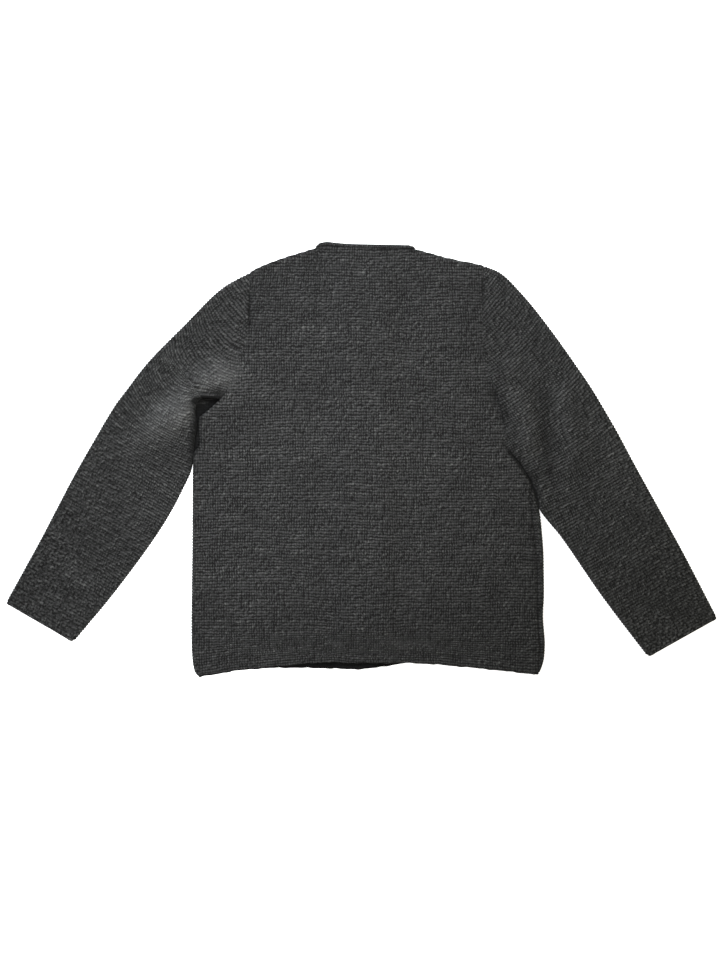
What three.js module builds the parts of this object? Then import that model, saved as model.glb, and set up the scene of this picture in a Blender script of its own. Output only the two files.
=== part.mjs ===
import * as THREE from "three";

// A knitted wool cardigan lying flat on its front, back uppermost. Millimetres, Z up.
// X runs across the body from the centre-back seam, Y is the height above the hem line.

// Cloth and the way it is folded flat
const CLOTH = 3;
const SEAM = 0.3;
const FOLD = 3.2;
const LOW = CLOTH / 2;
const HIGH = LOW + 2 * FOLD;
// Least distance between the layers of the sleeve, so that its fold isn't pinched
const LEAST_APART = 4.8;
const FOLD_REACH = FOLD + CLOTH / 2;
const QUARTER = (Math.PI * FOLD) / 2 - SEAM / 2;

// Buttoned fronts under the centre
const PLACKET_LEFT = -20;
const PLACKET_RIGHT = 22;
const PLACKET_CENTRE = (PLACKET_LEFT + PLACKET_RIGHT) / 2;
const OVERLAP_STEP = 3.5;
const OVERLAP_START = 24;
const OVERLAP_RAMP = 62;
const PLACKET_FOOT = 30;
const PLACKET_FOOT_RUN = 60;
const PLACKET_HEAD = 605;
const PLACKET_HEAD_RUN = 45;
const BUTTON_LIFT = 3.6;
const BUTTON_FLAT = 24;
const BACK_OVER_PLACKET = 1.7;
const BUTTONS = 6;
const BUTTON_RADIUS = 10;
const BUTTON_THICK = 3.2;
const BUTTON_HOLES = 4;
const BUTTON_HOLE_RING = 2.6;
const BUTTON_HOLE_RADIUS = 0.9;
const BUTTON_FACETS = 6;
const BUTTON_TOP = 575;
const BUTTON_SPACING = 92;

// Neck
const NECK_LEFT = -77.5;
const NECK_RIGHT = 82;
const NECK_CENTRE = (NECK_LEFT + NECK_RIGHT) / 2;
const NECK_TURN = 9;
const FRONT_NECK_HEIGHT = 592;
const FRONT_NECK_POWER = 2.2;
const BAND_WIDTH = 5.5;
const BAND_TURN = 10;
const BAND_CORNER_LEAN = 0.75;
const BAND_CORNER_GAP = 2.2;
const BAND_FOLD_CELLS = 6;
const BAND_SET_IN = 5.5;

// Side of the body, from hem to underarm, then the armhole up to the shoulder point
const LEFT_BACK_EDGE = [
  { height: 0, reach: 256 },
  { height: 9, reach: 263 },
  { height: 28, reach: 266.3 },
  { height: 70, reach: 267.8 },
  { height: 200, reach: 266.4 },
  { height: 307, reach: 265.8 },
  { height: 345, reach: 264.8 },
  { height: 352, reach: 262.5 },
  { height: 358, reach: 257 },
  { height: 368, reach: 255 },
  { height: 384, reach: 254.6 },
  { height: 400, reach: 252.6 },
  { height: 415, reach: 243 },
  { height: 434, reach: 220 },
  { height: 454, reach: 207.7 },
  { height: 485, reach: 195.3 },
  { height: 516, reach: 187.6 },
  { height: 547, reach: 179.8 },
  { height: 586, reach: 178.3 },
  { height: 629, reach: 176.7 },
];

// The left front spreads further out under the armpit than the back does
const LEFT_FRONT_EDGE = [
  ...LEFT_BACK_EDGE.filter((row) => row.height < 352),
  { height: 352, reach: 263.6 },
  { height: 368, reach: 261.8 },
  { height: 387, reach: 260.2 },
  { height: 400, reach: 260.6 },
  { height: 412, reach: 261.8 },
  { height: 420, reach: 259.6 },
  { height: 426, reach: 254 },
  { height: 430, reach: 246 },
  { height: 432.5, reach: 234 },
  ...LEFT_BACK_EDGE.filter((row) => row.height > 432.5),
];

const RIGHT_EDGE = [
  { height: 0, reach: 270 },
  { height: 9, reach: 274.8 },
  { height: 28, reach: 279.6 },
  { height: 50, reach: 280.8 },
  { height: 98, reach: 278 },
  { height: 129, reach: 279.4 },
  { height: 183, reach: 278.9 },
  { height: 240, reach: 275 },
  { height: 265, reach: 271.3 },
  { height: 285, reach: 266.4 },
  { height: 304, reach: 258.6 },
  { height: 333, reach: 240.2 },
  { height: 350, reach: 225.5 },
  { height: 360, reach: 219.2 },
  { height: 384, reach: 218.4 },
  { height: 408, reach: 215.5 },
  { height: 439, reach: 206.2 },
  { height: 477, reach: 192.2 },
  { height: 524, reach: 184.5 },
  { height: 586, reach: 182.9 },
  { height: 639, reach: 186 },
];

// How far the right front wraps over the side on to the back
const RIGHT_WRAP = [
  { height: 0, wrap: 5 },
  { height: 43, wrap: 7.5 },
  { height: 128, wrap: 11 },
  { height: 200, wrap: 11 },
  { height: 250, wrap: 14 },
  { height: 270, wrap: 13 },
  { height: 285, wrap: 9 },
  { height: 300, wrap: 0 },
  { height: 360, wrap: 0 },
];

// Shoulders and back neck, from the left shoulder to the right one
const BACK_TOP = [
  { x: -176.7, height: 629 },
  { x: -167, height: 634.8 },
  { x: -127, height: 650.8 },
  { x: -93, height: 661.2 },
  { x: -77.5, height: 666 },
  { x: -57, height: 670.5 },
  { x: -43, height: 668.8 },
  { x: -18, height: 667 },
  { x: 30, height: 666 },
  { x: 74, height: 665.3 },
  { x: 82, height: 664 },
  { x: 135, height: 650.2 },
  { x: 176, height: 641.8 },
  { x: 186, height: 639 },
];

const HEM = [
  { x: -253, back: 4, front: 1 },
  { x: -178, back: 15.5, front: 12.5 },
  { x: -124, back: 19.5, front: 15 },
  { x: -51, back: 24.8, front: 14 },
  { x: -14, back: 23.5, front: 13 },
  { x: 22, back: 23.3, front: 16 },
  { x: 51, back: 23.3, front: 20.2 },
  { x: 72, back: 22.8, front: 23 },
  { x: 96, back: 21.7, front: 23 },
  { x: 169, back: 15.5, front: 17 },
  { x: 242, back: 7.8, front: 9 },
  { x: 271, back: 4.7, front: 5 },
];

// Sleeves: a row for each knitted course named, from its outer fold to its inner fold
const LEFT_SLEEVE = [
  { outerX: -176.7, outerY: 629, innerX: -112, innerY: 535 },
  { outerX: -217.5, outerY: 606.1, innerX: -142, innerY: 512 },
  { outerX: -281.6, outerY: 544.1, innerX: -190.7, innerY: 446.4 },
  { outerX: -315.7, outerY: 510, innerX: -220, innerY: 434 },
  { outerX: -321, outerY: 504.8, innerX: -240, innerY: 434.2 },
  { outerX: -326.5, outerY: 499, innerX: -253.5, innerY: 430.4 },
  { outerX: -333.5, outerY: 491.4, innerX: -261.5, innerY: 422.5 },
  { outerX: -341.5, outerY: 481.8, innerX: -264.3, innerY: 411 },
  { outerX: -348.5, outerY: 473, innerX: -262.4, innerY: 399 },
  { outerX: -355, outerY: 464.5, innerX: -261, innerY: 387 },
  { outerX: -384.8, outerY: 424.7, innerX: -264.6, innerY: 347.2 },
  { outerX: -400.1, outerY: 400, innerX: -268.4, innerY: 322.4 },
  { outerX: -415.4, outerY: 373.6, innerX: -281.3, innerY: 292.2 },
  { outerX: -445.6, outerY: 320.9, innerX: -307.3, innerY: 244.1 },
  { outerX: -502.6, outerY: 212.4, innerX: -380.4, innerY: 141.1 },
  { outerX: -555.4, outerY: 116.2, innerX: -451, innerY: 55.6 },
];

const RIGHT_SLEEVE = [
  { outerX: 186, outerY: 639, innerX: 105, innerY: 545 },
  { outerX: 209.5, outerY: 629.4, innerX: 120, innerY: 515 },
  { outerX: 244.6, outerY: 596, innerX: 132, innerY: 474 },
  { outerX: 286.6, outerY: 544.1, innerX: 155, innerY: 420 },
  { outerX: 343.6, outerY: 463.5, innerX: 219.2, innerY: 360 },
  { outerX: 354.2, outerY: 447.5, innerX: 224, innerY: 350 },
  { outerX: 368.8, outerY: 423.2, innerX: 239.8, innerY: 333.3 },
  { outerX: 392.2, outerY: 382.9, innerX: 258.4, innerY: 303.8 },
  { outerX: 417, outerY: 336.4, innerX: 272.6, innerY: 262 },
  { outerX: 440.7, outerY: 293, innerX: 305.8, innerY: 218.6 },
  { outerX: 493.7, outerY: 196.9, innerX: 367.8, innerY: 128.7 },
  { outerX: 548, outerY: 92.4, innerX: 441, innerY: 32.3 },
];

// Soft folds that lift both layers of cloth off the table
const FOLDS = [
  { name: "left armpit", x1: -236, y1: 462, x2: -300, y2: 404, height: 7, half: 44 },
  { name: "left upper arm", x1: -300, y1: 404, x2: -350, y2: 366, height: 3, half: 36 },
  { name: "right armpit", x1: 218, y1: 468, x2: 254, y2: 376, height: 5.5, half: 36 },
  { name: "right upper arm", x1: 322, y1: 450, x2: 334, y2: 345, height: 2.5, half: 32 },
];

// The hollow under the left armpit, where the lower layer stays down on the table
const HOLLOWS = [
  { name: "left armpit", x1: -232, y1: 430, x2: -258, y2: 408, depth: 5.5, half: 24 },
];

// Soft troughs in the upper layer alone
const TROUGHS = [
  { name: "right sleeve", x1: 276, y1: 450, x2: 288, y2: 320, depth: 2.8, half: 20 },
  { name: "right sleeve's foot", x1: 288, y1: 320, x2: 297, y2: 278, depth: 1.6, half: 18 },
  { name: "right armhole", x1: 204, y1: 436, x2: 218, y2: 400, depth: 2.8, half: 16 },
  { name: "right underarm", x1: 222, y1: 361, x2: 252, y2: 325, depth: 1.6, half: 13 },
  { name: "right underarm's foot", x1: 252, y1: 325, x2: 270, y2: 276, depth: 1.4, half: 11 },
  { name: "left armhole", x1: -179, y1: 592, x2: -181, y2: 550, depth: 2, half: 13 },
];

// Where the left sleeve's upper layer alone turns down towards the body's side
const SLEEVE_DIPS = [
  { name: "over the hollow", x1: -222, y1: 446, x2: -240, y2: 444, depth: 3, half: 16 },
  { name: "beside the hollow", x1: -240, y1: 444, x2: -262, y2: 430, depth: 6, half: 20 },
  { name: "below the hollow", x1: -264, y1: 430, x2: -266, y2: 404, depth: 4, half: 14 },
  { name: "beside the body", x1: -266, y1: 404, x2: -270, y2: 330, depth: 1.6, half: 12 },
];

const LEFT = {
  side: -1,
  backEdge: LEFT_BACK_EDGE,
  frontEdge: LEFT_FRONT_EDGE,
  armpit: 434,
  frontTurnEnd: 366,
  sleeve: LEFT_SLEEVE,
  rows: [0, 9, 24, 48, 80, 115, 161, 207, 253, 299, 330, 345, 352, 358, 366, 384, 398,
    407, 415, 422, 427, 431, 434, 454, 483, 516, 547, 580, 603],
  frontOverlap: 1,
};

const RIGHT = {
  side: 1,
  backEdge: RIGHT_EDGE,
  frontEdge: RIGHT_EDGE,
  armpit: 360,
  frontTurnEnd: 360,
  sleeve: RIGHT_SLEEVE,
  rows: [0, 9, 24, 48, 80, 115, 161, 207, 253, 276, 292, 308, 326, 343, 352, 360, 391, 414, 437,
    483, 524, 560, 588, 610],
  frontOverlap: 0,
};

const TURN_RUN = 18;
const EDGE_CELLS = 5;
const WRAP_CELLS = 8;
const SHOULDER_CELLS = 4;
const PANEL_CELLS = 4;
const EDGE_LEAD = 3;
const YOKE = 500;
const HEM_REACH = 80;

const clamp = (value, low = 0, high = 1) => Math.min(high, Math.max(low, value));
const mix = (a, b, t) => a + (b - a) * t;

function smooth(t) {
  const s = clamp(t);
  return s * s * (3 - 2 * s);
}

// A smooth curve through the rows of a table that doesn't overshoot between them
function along(table, key, value, at) {
  const last = table.length - 1;
  const t = clamp(at, table[0][key], table[last][key]);
  let i = table.findIndex((row, n) => n < last && t <= table[n + 1][key]);
  i = Math.max(i, 0);
  const span = (n) => table[n + 1][key] - table[n][key];
  const rise = (n) => (table[n + 1][value] - table[n][value]) / span(n);
  const slope = (n) => {
    if (n === 0) return rise(0);
    if (n === last) return rise(last - 1);
    const before = rise(n - 1);
    const after = rise(n);
    return before * after <= 0 ? 0 : (2 * before * after) / (before + after);
  };
  const width = span(i);
  const s = (t - table[i][key]) / width;
  const bend = s * s * (3 - 2 * s);
  return (
    mix(table[i][value], table[i + 1][value], bend) +
    width * slope(i) * s * (1 - s) * (1 - s) -
    width * slope(i + 1) * s * s * (1 - s)
  );
}

// Height of a soft ridge that runs between two points
function ridge(fold, x, y) {
  const dx = fold.x2 - fold.x1;
  const dy = fold.y2 - fold.y1;
  const t = clamp(((x - fold.x1) * dx + (y - fold.y1) * dy) / (dx * dx + dy * dy));
  const far = Math.hypot(x - fold.x1 - t * dx, y - fold.y1 - t * dy) / fold.half;
  return far < 1 ? (1 - far * far) ** 2 : 0;
}

const nearCentre = (x, flat, end) => 1 - smooth((Math.abs(x - PLACKET_CENTRE) - flat) / (end - flat));

// Lift over the row of buttons, from above the hem to below the neck
function placketLift(x, y) {
  const foot = smooth((y - PLACKET_FOOT) / PLACKET_FOOT_RUN);
  const head = 1 - smooth((y - PLACKET_HEAD) / PLACKET_HEAD_RUN);
  return BUTTON_LIFT * nearCentre(x, BUTTON_FLAT, OVERLAP_RAMP) * foot * head;
}

function foldLift(x, y) {
  return FOLDS.reduce((sum, fold) => sum + fold.height * ridge(fold, x, y), 0);
}

function lowLayer(x, y) {
  const hollow = HOLLOWS.reduce((sum, one) => sum + one.depth * ridge(one, x, y), 0);
  return LOW + placketLift(x, y) + Math.max(foldLift(x, y) - hollow, 0);
}

// The left front lies on the right one where they are buttoned
function frontLayer(x, y, overlap) {
  const out = Math.max(-x, OVERLAP_START);
  const over = smooth((OVERLAP_RAMP - out) / (OVERLAP_RAMP - OVERLAP_START));
  return lowLayer(x, y) + overlap * OVERLAP_STEP * over;
}

function highLayer(x, y) {
  const placket = placketLift(x, y) + BACK_OVER_PLACKET * nearCentre(x, BUTTON_FLAT, OVERLAP_RAMP);
  const troughs = TROUGHS.reduce((sum, trough) => sum + trough.depth * ridge(trough, x, y), 0);
  return HIGH + placket + foldLift(x, y) - troughs;
}

function sleeveTop(x, y) {
  const dips = SLEEVE_DIPS.reduce((sum, dip) => sum + dip.depth * ridge(dip, x, y), 0);
  return Math.max(highLayer(x, y) - dips, lowLayer(x, y) + LEAST_APART);
}

// Share of a fold's full height that there is between the layers
function foldShare(x, y, high) {
  return (high - lowLayer(x, y)) / (2 * FOLD);
}

// A point that has gone some way past the start of a fold: how far out, and how far down
function foldPoint(way) {
  if (way <= 0) return { out: way, drop: 0 };
  const half = Math.PI * FOLD;
  if (way >= half) return { out: half - way, drop: 2 * FOLD };
  return { out: FOLD * Math.sin(way / FOLD), drop: FOLD * (1 - Math.cos(way / FOLD)) };
}

// The direction of a line of points at one of them, bent on past its last point at the ends
function tangent(pointAt, n, count) {
  if (n > 0 && n < count - 1) return new THREE.Vector3().subVectors(pointAt(n + 1), pointAt(n - 1));
  const step = n === 0 ? 1 : -1;
  const near = new THREE.Vector3().subVectors(pointAt(n + step), pointAt(n));
  if (count < 3) return near.multiplyScalar(step);
  const next = new THREE.Vector3().subVectors(pointAt(n + 2 * step), pointAt(n + step));
  return near.multiplyScalar(3).sub(next).multiplyScalar(step);
}

// A closed cloth wall on both sides of a grid of points
function wall(grid, thick) {
  const rows = grid.length;
  const columns = grid[0].length;
  const points = [];
  const normalAt = (i, j) => {
    const across = tangent((n) => grid[i][n], j, columns);
    const down = tangent((n) => grid[n][j], i, rows);
    return across.cross(down).normalize();
  };
  for (const side of [1, -1]) {
    for (let i = 0; i < rows; i += 1) {
      for (let j = 0; j < columns; j += 1) {
        points.push(normalAt(i, j).multiplyScalar((side * thick) / 2).add(grid[i][j]));
      }
    }
  }
  const at = (side, i, j) => side * rows * columns + i * columns + j;
  const faces = [];
  const quad = (a, b, c, d) => faces.push(a, b, c, a, c, d);
  for (let i = 0; i < rows - 1; i += 1) {
    for (let j = 0; j < columns - 1; j += 1) {
      quad(at(0, i, j), at(0, i, j + 1), at(0, i + 1, j + 1), at(0, i + 1, j));
      quad(at(1, i, j), at(1, i + 1, j), at(1, i + 1, j + 1), at(1, i, j + 1));
    }
    quad(at(0, i, 0), at(0, i + 1, 0), at(1, i + 1, 0), at(1, i, 0));
    const j = columns - 1;
    quad(at(0, i, j), at(1, i, j), at(1, i + 1, j), at(0, i + 1, j));
  }
  for (let j = 0; j < columns - 1; j += 1) {
    quad(at(0, 0, j), at(1, 0, j), at(1, 0, j + 1), at(0, 0, j + 1));
    const i = rows - 1;
    quad(at(0, i, j), at(0, i, j + 1), at(1, i, j + 1), at(1, i, j));
  }
  return facingOut(points, faces);
}

// The faces of a closed body, turned so that they point outwards
function facingOut(points, faces) {
  let volume = 0;
  for (let f = 0; f < faces.length; f += 3) {
    const [a, b, c] = [points[faces[f]], points[faces[f + 1]], points[faces[f + 2]]];
    volume += a.dot(new THREE.Vector3().crossVectors(b, c));
  }
  const index = volume > 0 ? faces : faces.slice().reverse();
  const geometry = new THREE.BufferGeometry();
  geometry.setAttribute("position",
    new THREE.Float32BufferAttribute(points.flatMap((point) => point.toArray()), 3));
  geometry.setIndex(index);
  geometry.computeVertexNormals();
  return geometry;
}

// The fold at the side runs out at the underarm, where the armhole begins
const sideTurn = (y, end) => smooth((end - y) / TURN_RUN);

// The shoulder fold fades out where the neck begins
function shoulderTurn(x) {
  const past = Math.max(NECK_LEFT - x, x - NECK_RIGHT);
  return smooth((past + NECK_TURN) / NECK_TURN);
}

const backTop = (x) => along(BACK_TOP, "x", "height", x);

function frontTop(x) {
  if (x <= NECK_LEFT || x >= NECK_RIGHT) return backTop(x);
  const corner = backTop(x < NECK_CENTRE ? NECK_LEFT : NECK_RIGHT);
  const half = (NECK_RIGHT - NECK_LEFT) / 2;
  const way = Math.abs(x - NECK_CENTRE) / half;
  return FRONT_NECK_HEIGHT + (corner - FRONT_NECK_HEIGHT) * way ** FRONT_NECK_POWER;
}

// One flat panel of the body: columns run out to its side fold, rows up to its shoulder fold
function panel({ layer, top, edge, hem, side, rows, columns, wayEnd, cells, turnEnd }) {
  const shoulderPoint = edge[edge.length - 1];
  const topAt = (x) => top(x) - shoulderTurn(x) * FOLD_REACH - EDGE_LEAD;
  const topAtEdge = topAt(side * shoulderPoint.reach);
  const levels = [...rows, topAtEdge];
  const grid = [];
  const addRow = (level, shoulderWay) => {
    const reachAt = (height) => along(edge, "height", "reach", height);
    const lean = Math.hypot(1, (reachAt(level + 1) - reachAt(level - 1)) / 2);
    const turn = sideTurn(level, turnEnd);
    const outline = reachAt(level);
    const foldStart = outline - (turn * FOLD_REACH + (1 - turn) * (SEAM / 2)) * lean;
    const end = turn > 0 ? wayEnd(level) * turn : 0;
    const lead = Math.min(0, end) - EDGE_LEAD;
    const flatEnd = foldStart + lead * lean;
    const points = columns.map((x) => ({ x, drop: 0 }));
    const start = columns[columns.length - 1];
    for (let k = 1; k < PANEL_CELLS; k += 1) {
      points.push({ x: mix(start, side * flatEnd, k / PANEL_CELLS), drop: 0 });
    }
    for (let k = 0; k <= cells; k += 1) {
      const fold = foldPoint(mix(lead, end, k / cells));
      points.push({ x: side * (foldStart + fold.out * lean), drop: fold.drop });
    }
    grid.push(points.map(({ x, drop }) => {
      const yoke = smooth((level - YOKE) / (topAtEdge - YOKE));
      const low = along(HEM, "x", hem, x) * (1 - smooth(level / HEM_REACH));
      let y = level + low + (topAt(x) - topAtEdge) * yoke;
      let shoulderDrop = 0;
      if (shoulderWay > 0) {
        const fold = foldPoint(mix(-EDGE_LEAD, shoulderTurn(x) * QUARTER, shoulderWay));
        y += EDGE_LEAD + fold.out;
        shoulderDrop = fold.drop;
      }
      return layer(x, y, drop + shoulderDrop);
    }));
  };
  levels.forEach((level) => addRow(level, 0));
  for (let k = 1; k <= SHOULDER_CELLS; k += 1) addRow(topAtEdge, k / SHOULDER_CELLS);
  return wall(grid, CLOTH);
}

// Way past the fold's start at which the side seam lies on the back
function seamWay(half) {
  return (y) => {
    if (half.side < 0) return QUARTER;
    const wrap = along(RIGHT_WRAP, "height", "wrap", y);
    const full = Math.max(wrap - FOLD_REACH, 0);
    return QUARTER * (1 - clamp(wrap / FOLD_REACH)) - full;
  };
}

const BACK_COLUMNS = [SEAM / 2, 13, 32, 52, 70];
const FRONT_COLUMNS = [8, -13, -25, -40, -55, -66, -72];

function backPanel(half) {
  const neckCorner = half.side < 0 ? NECK_LEFT : NECK_RIGHT;
  return panel({
    layer: (x, y, drop) => {
      const high = highLayer(x, y);
      return new THREE.Vector3(x, y, high - drop * foldShare(x, y, high));
    },
    top: backTop,
    edge: half.backEdge,
    hem: "back",
    side: half.side,
    rows: half.rows,
    columns: [...BACK_COLUMNS.map((x) => half.side * x), neckCorner],
    wayEnd: seamWay(half),
    cells: EDGE_CELLS,
    turnEnd: half.armpit,
  });
}

function frontPanel(half) {
  const mirrored = (x) => (half.side < 0 ? x : 2 * PLACKET_CENTRE - x);
  const neckCorner = half.side < 0 ? NECK_LEFT : NECK_RIGHT;
  const way = seamWay(half);
  return panel({
    layer: (x, y, drop) => {
      const rise = drop * foldShare(x, y, highLayer(x, y));
      return new THREE.Vector3(x, y, frontLayer(x, y, half.frontOverlap) + rise);
    },
    top: frontTop,
    edge: half.frontEdge,
    hem: "front",
    side: half.side,
    rows: half.rows,
    columns: [mirrored(PLACKET_RIGHT), ...FRONT_COLUMNS.map(mirrored), neckCorner],
    wayEnd: (y) => Math.PI * FOLD - SEAM - way(y),
    cells: half.side < 0 ? EDGE_CELLS : WRAP_CELLS,
    turnEnd: half.frontTurnEnd,
  });
}

// The sleeve's courses by distance down the arm
function sleeveTable(rows) {
  let distance = 0;
  return rows.map((row, n) => {
    const before = rows[Math.max(n - 1, 0)];
    const stepX = (row.outerX + row.innerX - before.outerX - before.innerX) / 2;
    const stepY = (row.outerY + row.innerY - before.outerY - before.innerY) / 2;
    distance += Math.hypot(stepX, stepY);
    return { ...row, distance };
  });
}

const courseAt = (table, distance) => ({
  outer: new THREE.Vector2(
    along(table, "distance", "outerX", distance), along(table, "distance", "outerY", distance)),
  inner: new THREE.Vector2(
    along(table, "distance", "innerX", distance), along(table, "distance", "innerY", distance)),
});

const COURSE_HALVINGS = 40;

// The distance of the course that passes through a point of the armhole
function courseThrough(table, point, armpitDistance) {
  let low = 0;
  let high = armpitDistance;
  const sideOf = (distance) => {
    const { outer, inner } = courseAt(table, distance);
    return inner.sub(outer).cross(point.clone().sub(outer));
  };
  const sign = Math.sign(sideOf(low)) || 1;
  for (let n = 0; n < COURSE_HALVINGS; n += 1) {
    const middle = (low + high) / 2;
    if (Math.sign(sideOf(middle)) === sign) low = middle;
    else high = middle;
  }
  return (low + high) / 2;
}

// Cells round a course, distances of the courses below the underarm, and room at its sides
const SLEEVE_FLAT = 5;
const SLEEVE_INNER = 4;
const SLEEVE_OUTER = 6;
const TUBE_STEPS = [6, 12, 20, 30, 42, 56, 72, 90, 112, 138, 174, 212, 250, 290, 330, 370];
const SHOULDER_START = 1.5;
const CUFF_CLEAR = 12;
const BODY_CLEAR = 1.7;

// One course of the sleeve: up from the underarm, round the outer fold and back below
function sleeveCourse(outer, edge, turn) {
  const inward = new THREE.Vector2().subVectors(edge, outer);
  const width = inward.length();
  inward.divideScalar(width);
  const flat = width - FOLD_REACH - turn * FOLD_REACH - (1 - turn) * SEAM / 2;
  const lead = Math.min(EDGE_LEAD, flat / 3);
  const innerEnd = turn * QUARTER;
  const top = [];
  for (let k = SLEEVE_INNER; k >= 0; k -= 1) {
    const fold = foldPoint(mix(-lead, innerEnd, k / SLEEVE_INNER));
    top.push({ from: FOLD_REACH + flat + fold.out, drop: fold.drop });
  }
  for (let k = SLEEVE_FLAT - 1; k > 0; k -= 1) {
    top.push({ from: FOLD_REACH + ((flat - lead) * k) / SLEEVE_FLAT, drop: 0 });
  }
  const point = ({ from, drop }, layer) => {
    const x = outer.x + inward.x * from;
    const y = outer.y + inward.y * from;
    const high = sleeveTop(x, y);
    const fall = drop * foldShare(x, y, high);
    return new THREE.Vector3(x, y, layer === "high" ? high - fall : lowLayer(x, y) + fall);
  };
  const round = [];
  for (let k = 0; k <= SLEEVE_OUTER; k += 1) {
    const fold = foldPoint((Math.PI * FOLD * k) / SLEEVE_OUTER);
    round.push(point({ from: FOLD_REACH - fold.out, drop: fold.drop }, "high"));
  }
  return [
    ...top.map((place) => point(place, "high")),
    ...round,
    ...top.reverse().map((place) => point(place, "low")),
  ];
}

function sleeve(half) {
  const table = sleeveTable(half.sleeve);
  const armpit = table.find((row) => row.innerY <= half.armpit).distance;
  const end = table[table.length - 1].distance;
  const edge = (y) => along(half.backEdge, "height", "reach", y);
  const shoulder = half.backEdge[half.backEdge.length - 1];
  const heights = [
    shoulder.height - FOLD_REACH - EDGE_LEAD,
    ...half.rows.filter((y) => y > half.armpit).reverse(),
  ];
  const grid = heights.map((y, n) => {
    const lean = Math.hypot(1, edge(y + 1) / 2 - edge(y - 1) / 2);
    const point = new THREE.Vector2(half.side * edge(y), y);
    const distance = n === 0 ? SHOULDER_START : courseThrough(table, point, armpit);
    point.x += (half.side * SEAM * lean) / 2;
    return sleeveCourse(courseAt(table, distance).outer, point, 0);
  });
  const steps = TUBE_STEPS.map((step) => armpit + step).filter((step) => step < end - CUFF_CLEAR);
  const bodyReach = (y) => Math.max(edge(y), along(half.frontEdge, "height", "reach", y));
  [armpit, ...steps, end].forEach((distance) => {
    const { outer, inner } = courseAt(table, distance);
    const apart = distance > armpit ? BODY_CLEAR : SEAM / 2;
    inner.x = half.side * Math.max(half.side * inner.x, bodyReach(inner.y) + apart);
    grid.push(sleeveCourse(outer, inner, smooth((distance - armpit) / TURN_RUN)));
  });
  return wall(grid, CLOTH);
}

// The narrow band: along the back neck, over the shoulders and round the front neck
function neckband() {
  const half = (side) => {
    const corner = side < 0 ? NECK_LEFT : NECK_RIGHT;
    const mirrored = (x) => (side < 0 ? x : 2 * PLACKET_CENTRE - x);
    const back = BACK_COLUMNS.map((x) => ({ x: side * x, on: "back" }));
    const fold = [];
    for (let k = 1; k < BAND_FOLD_CELLS; k += 1) {
      const angle = (Math.PI * k) / BAND_FOLD_CELLS;
      const x = corner - side * (BAND_SET_IN - FOLD * Math.sin(angle));
      fold.push({ x, on: "fold", level: LOW + FOLD + FOLD * Math.cos(angle) });
    }
    const front = [...FRONT_COLUMNS].reverse().map((x) => ({ x: mirrored(x), on: "front" }));
    const end = { x: mirrored(PLACKET_RIGHT - SEAM), on: "front" };
    return [...back, ...fold, ...front, end].map((station) => ({ ...station, side, corner }));
  };
  const grid = [...half(-1).reverse(), ...half(1)].map(({ x, on, level, side, corner }) => {
    const past = smooth((side * (x - corner) + BAND_TURN) / BAND_TURN);
    const steep = Math.atan(Math.abs(frontTop(x + 0.5) - frontTop(x - 0.5)));
    const outward = on === "front" && side * (x - NECK_CENTRE) < 0 ? side : -side;
    const lean = outward * { back: BAND_CORNER_LEAN * past, fold: BAND_CORNER_LEAN, front: steep }[on];
    const out = new THREE.Vector3(Math.sin(lean), Math.cos(lean), 0);
    const base = on === "front" ? frontTop(x) : backTop(x);
    const height = {
      back: () => highLayer(x, base),
      fold: () => level,
      front: () => frontLayer(x, base, side < 0 ? 1 : 0),
    }[on]();
    const foot = new THREE.Vector3(x, base, height).addScaledVector(out, SEAM + BAND_CORNER_GAP * past);
    return [foot, foot.clone().addScaledVector(out, BAND_WIDTH)];
  });
  return wall(grid, CLOTH);
}

// A flat button with four holes, face down on the table
function button() {
  const disc = new THREE.Shape();
  disc.absarc(0, 0, BUTTON_RADIUS, 0, 2 * Math.PI);
  for (let n = 0; n < BUTTON_HOLES; n += 1) {
    const angle = (2 * Math.PI * (n + 0.5)) / BUTTON_HOLES;
    const x = BUTTON_HOLE_RING * Math.cos(angle);
    const y = BUTTON_HOLE_RING * Math.sin(angle);
    const hole = new THREE.Path();
    hole.absarc(x, y, BUTTON_HOLE_RADIUS, 0, 2 * Math.PI, true);
    disc.holes.push(hole);
  }
  return new THREE.ExtrudeGeometry(disc, {
    depth: BUTTON_THICK,
    curveSegments: BUTTON_FACETS,
    bevelEnabled: false,
  });
}

function charcoalWool() {
  return new THREE.MeshStandardMaterial({ color: "#3b3b3b", roughness: 0.95, metalness: 0 });
}

function horn() {
  return new THREE.MeshStandardMaterial({ color: "#3a2d22", roughness: 0.45, metalness: 0 });
}

function named(name, geometry, material) {
  const mesh = new THREE.Mesh(geometry, material);
  mesh.name = name;
  return mesh;
}

const cardigan = new THREE.Group();
cardigan.add(named("back_left", backPanel(LEFT), charcoalWool()));
cardigan.add(named("back_right", backPanel(RIGHT), charcoalWool()));
cardigan.add(named("front_left", frontPanel(LEFT), charcoalWool()));
cardigan.add(named("front_right", frontPanel(RIGHT), charcoalWool()));
cardigan.add(named("sleeve_left", sleeve(LEFT), charcoalWool()));
cardigan.add(named("sleeve_right", sleeve(RIGHT), charcoalWool()));
cardigan.add(named("neckband", neckband(), charcoalWool()));
for (let n = 0; n < BUTTONS; n += 1) {
  const mesh = named(`button_${n + 1}`, button(), horn());
  mesh.position.set(PLACKET_CENTRE, BUTTON_TOP - n * BUTTON_SPACING, 0);
  cardigan.add(mesh);
}

// The origin is under the middle of the whole garment
const box = new THREE.Box3().setFromObject(cardigan);
cardigan.position.set(-(box.min.x + box.max.x) / 2, -(box.min.y + box.max.y) / 2, -box.min.z);

export default cardigan;
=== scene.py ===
"""A knitted charcoal wool cardigan laid out flat with its back uppermost."""

import math
from functools import partial

import bmesh
import bpy
import numpy as np
from bpy.props import FloatProperty, FloatVectorProperty, PointerProperty
from mathutils import Matrix, Vector


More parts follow.
